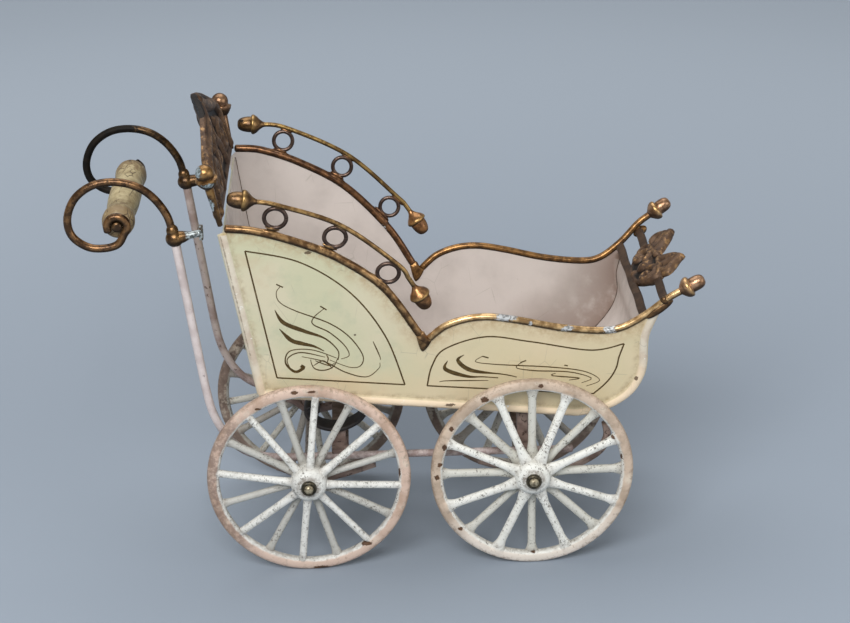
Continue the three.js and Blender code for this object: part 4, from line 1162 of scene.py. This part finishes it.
def cross_sheet(path):
    """A bent sheet between the sides, and which of its points are on its inner face."""
    across = np.linspace(-1, 1, 25)
    rings = []
    for rise in (-SHEET / 2, SHEET / 2):
        line = offset(path, rise)
        reach = half_width(line[:, 1]) - SHEET / 2 - 0.15
        rings.append(np.stack([at_y(line, t * reach) for t in across], 1))
    lower, upper = rings
    inner = np.tile(np.repeat([0.0, 1.0], len(across)), len(path))
    return grid(np.concatenate([lower, upper[:, ::-1]], 1)), inner


def make_tub():
    line = tub_line()
    corner = np.argmin(line[:, 1] + (line[:, 0] > 0) * 1000)  # the lowest point of the rear half
    sheets = [("back", line[: corner + 1], "back_panel"), ("floor", line[corner:], "floor_pan")]
    for name, path, node in sheets:
        sheet, inner = cross_sheet(even(path, 1.2))
        solid(name, [sheet], "cream", node, marks={"lining": inner})
    make_crest()
    make_guard()


# Ornament castings
def raised_by(flat, outline, strokes, border):
    """The height of a relief: rounded strokes and a rim, sinking to nothing at the outline."""
    inset = distance_to(flat, closed(outline))
    rise = border * ramp(((inset - 0.8) / 0.8) ** 2, 1, 0)
    for line, width, depth in strokes:
        rise = np.maximum(rise, depth * ramp((distance_to(flat, line) / width) ** 2, 1, 0) ** 0.8)
    return rise * ramp(inset, 0, 0.5)


def make_crest():
    half = half_width(POST_FOOT[1]) - POST_RADIUS - SEAT_GAP
    right = [(u * half, v * CREST_HEIGHT) for u, v in CREST_OUTLINE]
    outline = np.array(right + [(-u, v) for u, v in right[-2::-1]])
    outline = even(spline(outline, 160), 0.6)
    strokes = crest_strokes()
    base = CREST_THICKNESS / 2 - 0.3

    def relief(flat):
        return raised_by(flat, outline, strokes, 0.55)

    points, faces = slab(outline, 0.5, lambda f: base + relief(f), lambda f: -base - relief(f) * 0.4)
    raised = crest_wear_and_highlight(points, outline, base)
    bent = ramp(points[:, 0] / half, 0.1, -0.4)
    points[:, 2] += CREST_TWIST * bent**2 * (3 - 2 * bent) * points[:, 1] / CREST_HEIGHT
    lean = (-math.sin(CREST_LEAN), 0, math.cos(CREST_LEAN))
    ahead = (math.cos(CREST_LEAN), 0, math.sin(CREST_LEAN))
    at = (POST_FOOT[0] - CREST_THICKNESS * 0.2, 0, POST_FOOT[1])
    plate = laid((points, faces), at, (0, 1, 0), lean, ahead)
    solid("crest_plate", [plate], "relief", "crest", angle=60, marks={"raised": raised})


def crest_wear_and_highlight(points, outline, base):
    """How worn the crest is: most on its swells and low on its right rim, least at the rim's top. The gold
    on the low right rim is painted highlight as well as wear.
    """
    rim = distance_to(points[:, :2], closed(outline)) < 0.9
    gold = rim * (points[:, 0] < -12) * (points[:, 1] < 24)
    black = rim * (points[:, 0] < 2) * (points[:, 1] >= 25)
    return np.maximum((np.abs(points[:, 2]) - base) / 1.5, rim * 0.4 + gold * 0.45) * (1 - black)


def crest_strokes():
    """Scrolls, leaves and beads of a traditional kind, mirrored about the middle."""
    lines = [(spiral((20.5, 8.6), 5.6, math.pi * 0.9, -1.35), 1.9, 1.4),
             (spline([(31.8, 2.5), (29.4, 9.5), (31.5, 13), (27, 17.2)], 30), 1.9, 1.5),
             (spline([(25.5, 17.6), (18, 19.6), (10.4, 22.2), (4.2, 25.6)], 30), 2.0, 1.5),
             (spline([(12.6, 3), (10.4, 9.6), (5.6, 13.4), (4.6, 19)], 30), 1.9, 1.4),
             (spline([(3.2, 1.8), (9, 1.6), (17.5, 1.9), (26.5, 2.2)], 30), 1.3, 0.8)]
    strokes = [(line * (s, 1), width, depth) for line, width, depth in lines for s in (-1, 1)]
    for u, v, width in ((0, 8.6, 3.4), (0, 20.4, 2.6), (0, 14.6, 1.8), (14, 15.4, 1.7), (-14, 15.4, 1.7)):
        strokes.append((np.array([(u, v), (u, v + 0.2)]), width, 1.6))
    return strokes


def on_guard(part):
    """Lays a flat part on the guard's sloping plane: across, up the slope and out of it."""
    up = (math.cos(GUARD_SLOPE), 0, math.sin(GUARD_SLOPE))
    out = (-math.sin(GUARD_SLOPE), 0, math.cos(GUARD_SLOPE))
    return laid(part, (GUARD_FOOT[0], 0, GUARD_FOOT[1]), (0, 1, 0), up, out)


def guard_reach(slope):
    """From the middle to a side at a distance up the guard's slope."""
    return half_width(GUARD_FOOT[1] + slope * math.sin(GUARD_SLOPE))


def guard_bar(slope):
    u = np.linspace(-1, 1, 60) * (guard_reach(slope) + 0.6)
    line = np.column_stack([u, slope + 0.12 * np.sin(u / 3.1), 0.08 * np.sin(u / 4.3)])
    return on_guard(sweep(line, (0, 1, 0), rounded(GUARD_BAR_WIDTH, GUARD_THICKNESS, 0.4)))


def guard_plate(outline, strokes, thickness, rim_wear):
    """A cast plate, and how far each of its points is raised or worn."""
    base = GUARD_THICKNESS * 0.42 * thickness

    def relief(flat):
        return raised_by(flat, outline, strokes, 0.5)

    plate = slab(outline, 0.45, lambda f: base + relief(f), lambda f: -base - 0.5 * relief(f))
    rim = distance_to(plate[0][:, :2], closed(outline)) < 0.6
    return on_guard(plate), np.maximum((np.abs(plate[0][:, 2]) - base) / 1.3, rim * rim_wear)


def guard_leaf(sign):
    """The outline and the folds of one leaf; the outline has a corner at the tip."""
    lines = [LEAF] + LEAF_FOLDS
    outline, *folds = (np.array(line) * (sign, 1) + (LEAF_SHIFT, 0) for line in lines)
    outline = np.vstack([spline(outline[: LEAF_TIP + 1], 30), spline(outline[LEAF_TIP:], 30)[1:]])
    return outline, [(spline(fold, 12), 1.9, 1.1) for fold in folds]


def make_guard():
    """Two flat bars, a medallion between them and a pair of leaves on top."""
    parts = [guard_bar(slope) for slope in GUARD_BARS]
    raised = [np.full(len(part[0]), 0.3) for part in parts]
    medallion = spline(MEDALLION + [(-u, v) for u, v in MEDALLION[-2::-1]], 100)[:-1]
    plates = [guard_plate(medallion, medallion_strokes(), 1, 0.35)]
    plates += [guard_plate(*guard_leaf(sign), 0.8, 0.85) for sign in (-1, 1)]
    for plate, wear in plates:
        parts.append(plate)
        raised.append(wear)
    solid("guard", parts, "relief", "foot_guard", angle=60, marks={"raised": np.concatenate(raised)})
    make_tabs()


def medallion_strokes():
    strokes = [(np.array([(0, 5.6), (0, 6.4)]), 2.6, 1.5), (np.array([(0, 1.6), (0, 2.2)]), 1.3, 1.0)]
    for s in (-1, 1):
        border = spline([(11.4, 5.4), (11.6, 8.6), (8, 10), (2, 10.6)], 24) * (s, 1)
        strokes.append((spiral((7 * s, 5.6), 3.9, math.pi * (0.5 + 0.4 * s), -1.1 * s), 1.25, 1.3))
        strokes.append((border, 1.2, 1.2))
    return strokes


def make_tabs():
    """Where the guard's upper bar is soldered: its stub above each foot rail and a leaf below it."""
    slope = GUARD_BARS[1]
    for name, sign in SIGNS.items():
        u = sign * guard_reach(slope)
        stub = ball((u + 0.3 * sign, slope, 0.6), (1.0, 1.3, 1.4))
        size, centre = ((0.7, 4.6, 1.1), -2.6) if sign < 0 else ((1.3, 2.4, 1.5), 0.2)
        leaf = ball((u + 0.5 * sign, slope + centre, -0.7), size)
        look = "far_clamp" if sign < 0 else "far_rail"
        solid(f"{name}_tab", [on_guard(stub), on_guard(leaf)], look)


# Wheels
def wheel_parts(end):
    """A wheel about Y with its face towards +Y, at the origin."""
    middle = WHEEL_RADIUS - RIM_DEPTH / 2
    rim = []
    for c, s in circle(24, 0):
        rim.append((middle + RIM_DEPTH / 2 * math.copysign(abs(c) ** 0.8, c),
                    RIM_WIDTH / 2 * math.copysign(abs(s) ** 0.8, s)))
    bore = AXLE_RADIUS + 0.2
    hub = [(bore, -HUB_INSET), (3.4, -HUB_INSET), (3.8, -3.7), (4.1, -2.4), (4.6, -0.9), (5.2, 0.2),
           (HUB_RADIUS, 1.1), (HUB_RADIUS, 3.2), (5.3, 4.0), (5.05, 4.7), (4.55, 5.35), (3.8, 5.85),
           (3.0, 6.15), (2.3, HUB_REACH), (bore, HUB_REACH)]
    parts = [ring_of(rim, (0, 0, 0), 144), ring_of(hub, (0, 0, 0), 64)]
    for k in range(SPOKES):
        row = k % 2
        hub_y, rim_y = HUB_REACH * (0.54, 0.03)[row], RIM_WIDTH * (0.11, -0.11)[row]
        parts.append(spoke(k, hub_y, rim_y, *SPOKE_SHAPES[end][row]))
    return parts


def spoke(k, hub_y, rim_y, flare, web, girth):
    """A round spoke from the hub to the rim that swells where it is cast onto each."""
    angle = k * 2 * math.pi / SPOKES
    inner, outer = HUB_RADIUS * 0.55, WHEEL_RADIUS - RIM_DEPTH * 0.55
    t = np.linspace(0, 1, 30)[:, None, None]
    radius = SPOKE_RADIUS * (1 + 0.06 * math.sin(k * 2.4))
    at_rim = ramp(t, 0.8, 1) ** 2.2 * flare
    at_hub = ramp(t, 0.3, 0) ** 1.6
    wide = radius * (1 + 1.25 * at_rim + web * at_hub) * girth
    deep = radius * (1 + 0.3 * at_rim + 0.25 * at_hub)
    sway = 0.12 * math.sin(k * 5.1) * np.sin(t * math.pi)
    out = np.array([math.cos(angle), 0, math.sin(angle)])
    along = np.array([-math.sin(angle), 0, math.cos(angle)])
    level = np.array([0, 1, 0])
    section = circle(14)
    middle = out * (inner + (outer - inner) * t) + level * (hub_y + (rim_y - hub_y) * t) + along * sway
    return grid(middle + section[:, :1] * deep * level + section[:, 1:] * wide * along)


def wheel_marks(parts, centre):
    """Where each coat of a wheel's look lies."""
    place = stacked(parts) - centre
    radius = np.hypot(place[:, 0], place[:, 2])
    inner_rim = WHEEL_RADIUS - RIM_DEPTH
    far_row = [i > 2 and i % 2 == 1 for i in range(len(parts))]  # rim and hub come before the spokes
    around_bore = ramp(np.abs(radius - 2.7), 1.08, 0.18)
    around_rim = ramp(np.abs(radius - inner_rim + 0.3), 1.1, 0)
    around_hub = ramp(np.abs(radius - HUB_RADIUS - 0.4), 1.2, 0)
    return {
        "row": np.repeat(far_row, [len(points) for points, _ in parts]),
        "tyre": ramp(radius, inner_rim + 0.1, inner_rim + 1.4),
        "edge": ramp(radius, 28.4, 29.6),
        # dirt, and painted shade where spokes meet the bore, rim and hub
        "grime_and_shade": around_bore + 0.7 * around_rim + 0.5 * around_hub,
    }


def make_wheels():
    for end, x in AXLES.items():
        parts = wheel_parts(end)
        for name, sign in SIGNS.items():
            centre = np.array([x, sign * RIM_HALF_TRACK, AXLE_HEIGHT])
            face = Matrix.Rotation(0 if sign > 0 else math.pi, 3, "X")
            turn = np.array(face @ Matrix.Rotation(math.radians(WHEEL_TURNS[end]), 3, "Y"))
            turned = [(points @ turn.T + centre, faces) for points, faces in parts]
            body = f"{name}_{end}_wheel"
            look = f"{end}_wheel" if sign < 0 else "far_wheel"
            marks = wheel_marks(turned, centre)
            solid(f"{body}_cast", turned, look, body, body=body, angle=40, marks=marks, centre=centre)
            make_nut(f"{name}_{end}", centre, sign)
        ends = np.array([(x, y, AXLE_HEIGHT) for y in np.linspace(-36.5, 36.5, 30)])
        solid(f"{end}_axle_rod", [tube(ends, (1, 0, 0), AXLE_RADIUS)], "axle", f"{end}_axle")


def make_nut(name, centre, sign):
    """A hub nut with the axle's domed end in its middle."""
    seat = centre + np.array([0, sign * (HUB_REACH + 0.05), 0])
    cap = [(0, 0), (2.3, 0), (2.3, 0.6), (2.15, 0.95), (1.8, 1.15), (1.5, 1.05), (1.42, 0.95), (1.35, 1.2),
           (1.15, 1.55), (0.8, 1.85), (0.4, 1.97), (0, 2.0)]
    part = revolve(cap, seat, (0, sign, 0), 48)
    away = part[0] - seat
    dome = np.hypot(away[:, 0], away[:, 2]) < 1.38
    solid(f"{name}_nut", [part], "nut", f"{name}_hub_nut", angle=30, marks={"dome": dome})


# Chassis
def strap(points, y, width, thickness, corner):
    path = even(spline(points, 80), 0.7)
    return sweep(at_y(path, y), (0, 1, 0), rounded(width, thickness, corner))


def beside_clamp(point):
    """Where a wire towards a point leaves its clamp."""
    return tuple(np.array(CLAMP) + unit(np.subtract(point, CLAMP)) * (CLAMP_RADIUS * 0.8))


def make_chassis():
    for name, sign in SIGNS.items():
        make_rod(name, sign)
        for end, line in HANGERS.items():
            make_hanger(f"{name}_{end}", AXLES[end], sign * ROD_HALF_TRACK, line)
        spring = strap(SPRING, sign * (ROD_HALF_TRACK - SPRING_INSET), SPRING_WIDTH, SPRING_THICKNESS, 0.3)
        solid(f"{name}_spring", [spring], "black", f"{name}_rear_spring")
    for end, (x, top) in BOLSTERS.items():
        make_bolster(end, x, top)


def make_rod(name, sign):
    """A wire from the clamp down to the chassis and on below the tub, slightly thinner there."""
    bend = even(spline([beside_clamp(ROD_BEND[0])] + ROD_BEND, 200), 1)
    path = np.vstack([bend, even([ROD_BEND[-1], (RAIL_FRONT_X, RAIL_HEIGHT)], 3)[1:]])
    run = run_of(path) / run_of(path)[-1]
    radius = ROD_TOP_RADIUS + (ROD_RADIUS - ROD_TOP_RADIUS) * np.minimum(1, run * 1.3)
    wire = tube(at_y(path, sign * ROD_HALF_TRACK), (0, 1, 0), radius)
    # the low mark darkens the wire below the tub: painted shade
    solid(f"{name}_rod", [wire], f"{PLACES[sign]}_rod", f"{name}_handle_rod",
          marks={"low": ramp(wire[0][:, 2], 46, 38)})


def make_hanger(name, x, y, line):
    half = HANGER_WIDTH / 2
    profile = [(0, -half), (2.6, -half), (BOSS_RADIUS, -half + 0.3), (BOSS_RADIUS, half - 0.3), (2.6, half),
               (0, half)]
    boss = revolve(profile, (x, y, AXLE_HEIGHT), (0, 1, 0))
    arms = strap(line, y, HANGER_WIDTH, HANGER_THICKNESS, 0.6)
    solid(f"{name}_hanger", [arms, boss], "hanger", f"{name}_axle_hanger")


def make_bolster(end, x, top):
    """A cross bar over both rails, with a post at each side that carries the tub."""
    bottom = RAIL_HEIGHT + ROD_RADIUS
    reach = ROD_HALF_TRACK + ROD_RADIUS
    half, foot = BOLSTER_LENGTH / 2, POST_SIZE / 2
    parts = [block((x - half, -reach, bottom), (x + half, reach, BOLSTER_TOP), 0.3)]
    for sign in (-1, 1):
        y = sign * (ROD_HALF_TRACK - SPRING_INSET)
        parts.append(block((x - foot, y - foot, bottom), (x + foot, y + foot, top), 0.5))
    solid(f"{end}_bolster_bar", parts, "hanger", f"{end}_bolster")


# Handle
def scroll_path(name):
    """A scroll from its clamp round to the eye about the grip's axis."""
    x, z = GRIP_AXIS
    eye = []
    for k in range(EYE_STEPS[name]):
        angle = math.radians(EYE_START + k * EYE_STEP)
        eye.append((x + EYE_RADIUS * math.cos(angle), z + EYE_RADIUS * math.sin(angle)))
    return even(spline([beside_clamp(SCROLL[0])] + SCROLL + eye, 400), 0.6)


def make_handle():
    for name, sign in SIGNS.items():
        wire = tube(at_y(scroll_path(name), sign * ROD_HALF_TRACK), (0, 1, 0), SCROLL_RADIUS)
        tarnish = ramp(wire[0][:, 0], -46, -56) * (sign > 0)
        solid(f"{name}_scroll", [wire], f"{PLACES[sign]}_scroll", f"{name}_handle_scroll",
              marks={"tarnish": tarnish})
        make_clamp(name, sign)
    make_grip()
    make_spindle()


def make_clamp(name, sign):
    """A ball where rod, scroll and arm are soldered, and the arm's upright foot."""
    middle = np.array([CLAMP[0], sign * ROD_HALF_TRACK, CLAMP[1]])
    tip = np.array([CLAMP_FOOT_X[name], middle[1], CLAMP[1] + CLAMP_ARM_RISE])
    length = np.linalg.norm(tip - middle)
    taper = [(0, 0), (2.0, 0.5), (1.7, length * 0.32), (1.1, length * 0.55), (1.0, length), (0, length)]
    arm = revolve(taper, middle, tip - middle)
    foot = block(tip - (0.55, 1.2, 1.9), tip + (0.55, 1.2, 2.1), 0.4)
    lump = ball(middle, (CLAMP_RADIUS * 1.05, CLAMP_RADIUS, CLAMP_RADIUS))
    collar = ball(middle + (-0.5, 0, 2.3), (1.75, 1.7, 2.0))
    solid(f"{name}_clamp", [lump, collar, arm, foot], f"{PLACES[sign]}_clamp", f"{name}_handle_clamp")


def make_grip():
    """A turned grip, bored for its spindle; its own origin is its middle, where it turns."""
    half = ROD_HALF_TRACK - SCROLL_RADIUS - 0.35
    profile = [(GRIP_RADIUS * r, -half * y) for r, y in GRIP_PROFILE]
    profile += [(r, -y) for r, y in profile[-2::-1]]
    part = ring_of(profile + [(GRIP_BORE, half), (GRIP_BORE, -half)], GRIP_CENTRE, 64)
    ends = ramp(np.abs(part[0][:, 1]) / half, 0.5, 0.95)
    solid("grip_handle", [part], "wood", "grip", body="grip", angle=50, marks={"end": ends},
          centre=GRIP_CENTRE)


def make_spindle():
    end = ROD_HALF_TRACK + SCROLL_RADIUS
    rivet = [(0, 0), (1.0, 0), (1.4, 0.3), (1.5, 0.8), (1.5, 2.1), (0.9, 2.3)]
    profile = [(radius, depth - end) for radius, depth in rivet]
    profile += [(radius, end - depth) for radius, depth in rivet[::-1]]
    spindle = revolve(profile, GRIP_CENTRE, (0, 1, 0))
    solid("spindle", [spindle], "far_clamp", "grip_spindle")


# Stage
def seen(tree):
    """1 where the camera, a reflection or a transmission looks, 0 for the light on the object."""
    rays = tree.nodes.new("ShaderNodeLightPath").outputs
    total = rays["Is Camera Ray"]
    for other in ("Is Glossy Ray", "Is Transmission Ray"):
        node = tree.nodes.new("ShaderNodeMath")
        node.operation = "MAXIMUM"
        tree.links.new(total, node.inputs[0])
        tree.links.new(rays[other], node.inputs[1])
        total = node.outputs[0]
    return total


def make_stage():
    """A pale round floor, darker about the object as painted shade, that glows far off so that no horizon
    shows.
    """
    sheet = bpy.data.meshes.new("floor_sheet")
    rim = [(FLOOR_RADIUS * c, FLOOR_RADIUS * s, 0) for c, s in circle(96)]
    sheet.from_pydata(rim, [], [tuple(range(len(rim)))])
    p = Paint("pale_floor")
    away = p.length(p.own)
    p.put(p.shader.inputs["Emission Color"], FLOOR_FAR)
    glow = p.band(away, 600, 1500, BACKDROP_SEEN)
    p.put(p.shader.inputs["Emission Strength"], p.times(seen(p.tree), glow))
    # darker near the object: painted shade about it
    tone = p.mix(FLOOR_NEAR, FLOOR_FAR, p.band(away, 60, 620))
    sheet.materials.append(p.finish(tone, 0.9, specular=0.1))
    add("studio_floor", sheet)


def lamp(name, place, size, power):
    """A soft lamp that shines on the middle of the carriage."""
    light = bpy.data.lights.new(name, "AREA")
    light.shape = "RECTANGLE"
    light.size, light.size_y = size[0] * MM, size[1] * MM
    light.energy = power
    place, aim = Vector(place) * MM, Vector(LAMP_AIM) * MM
    turn = (place - aim).to_track_quat("Z", "Y").to_matrix().to_4x4()
    add(name, light).matrix_world = Matrix.Translation(place) @ turn


def make_light():
    for row in LAMPS:
        lamp(*row)
    world = bpy.data.worlds.new("studio")
    bpy.context.scene.world = world
    world.use_nodes = True
    tree = world.node_tree
    background = tree.nodes["Background"]
    background.inputs["Color"].default_value = srgb(*BACKDROP)
    strength = tree.nodes.new("ShaderNodeMapRange")
    strength.inputs["To Min"].default_value = BACKDROP_LIGHT
    strength.inputs["To Max"].default_value = BACKDROP_SEEN
    tree.links.new(seen(tree), strength.inputs["Value"])
    tree.links.new(strength.outputs[0], background.inputs["Strength"])


def make_camera():
    """The photograph's own view."""
    azimuth, elevation, roll = (math.radians(angle) for angle in CAMERA_ANGLES)
    back = Vector((math.sin(azimuth) * math.cos(elevation), -math.cos(azimuth) * math.cos(elevation),
                   math.sin(elevation)))
    right = Vector((math.cos(azimuth), math.sin(azimuth), 0))
    up = back.cross(right)
    x = math.cos(roll) * right + math.sin(roll) * up
    y = -math.sin(roll) * right + math.cos(roll) * up
    camera = bpy.data.cameras.new("camera")
    camera.sensor_width = 36
    camera.lens = CAMERA_LENS
    camera.clip_start, camera.clip_end = 0.01, 20
    place = (Vector(CAMERA_TARGET) - Vector(ORIGIN) + back * CAMERA_DISTANCE) * MM
    obj = add("camera", camera)
    obj.matrix_world = Matrix.Translation(place) @ Matrix((x, y, back)).transposed().to_4x4()
    bpy.context.scene.camera = obj


# Each kind of look: what makes its material, its slot, and the values for each look by name
LOOKS = [
    (cream_enamel, "cream_paint", {"cream": ()}),
    (line_paint, "cream_paint", {"line": ()}),
    (seam_dirt, "lining_paint", {"seam": ()}),
    (worn_bronze, "bronze", BRONZES),
    (worn_bronze, "dark_bronze", DARK_BRONZES),
    (relief_bronze, "dark_bronze", {"relief": ()}),
    (wheel_enamel, "wheel_paint", WHEEL_ENAMELS),
    (flaked_enamel, "chassis_paint", CHASSIS_ENAMELS),
    (flaked_enamel, "black_paint", {"black": BLACK_ENAMEL}),
    (nut_metal, "steel", {"nut": ()}),
    (axle_steel, "steel", {"axle": ()}),
    (turned_wood, "grip_paint", {"wood": ()}),
]
looks = {name: (build(name, *row), slot) for build, slot, rows in LOOKS for name, row in rows.items()}

for side_name in SIGNS:
    make_side(side_name)
make_tub()
make_wheels()
make_chassis()
make_handle()
make_stage()
make_light()
make_camera()
bpy.context.scene.view_settings.view_transform = "Standard"
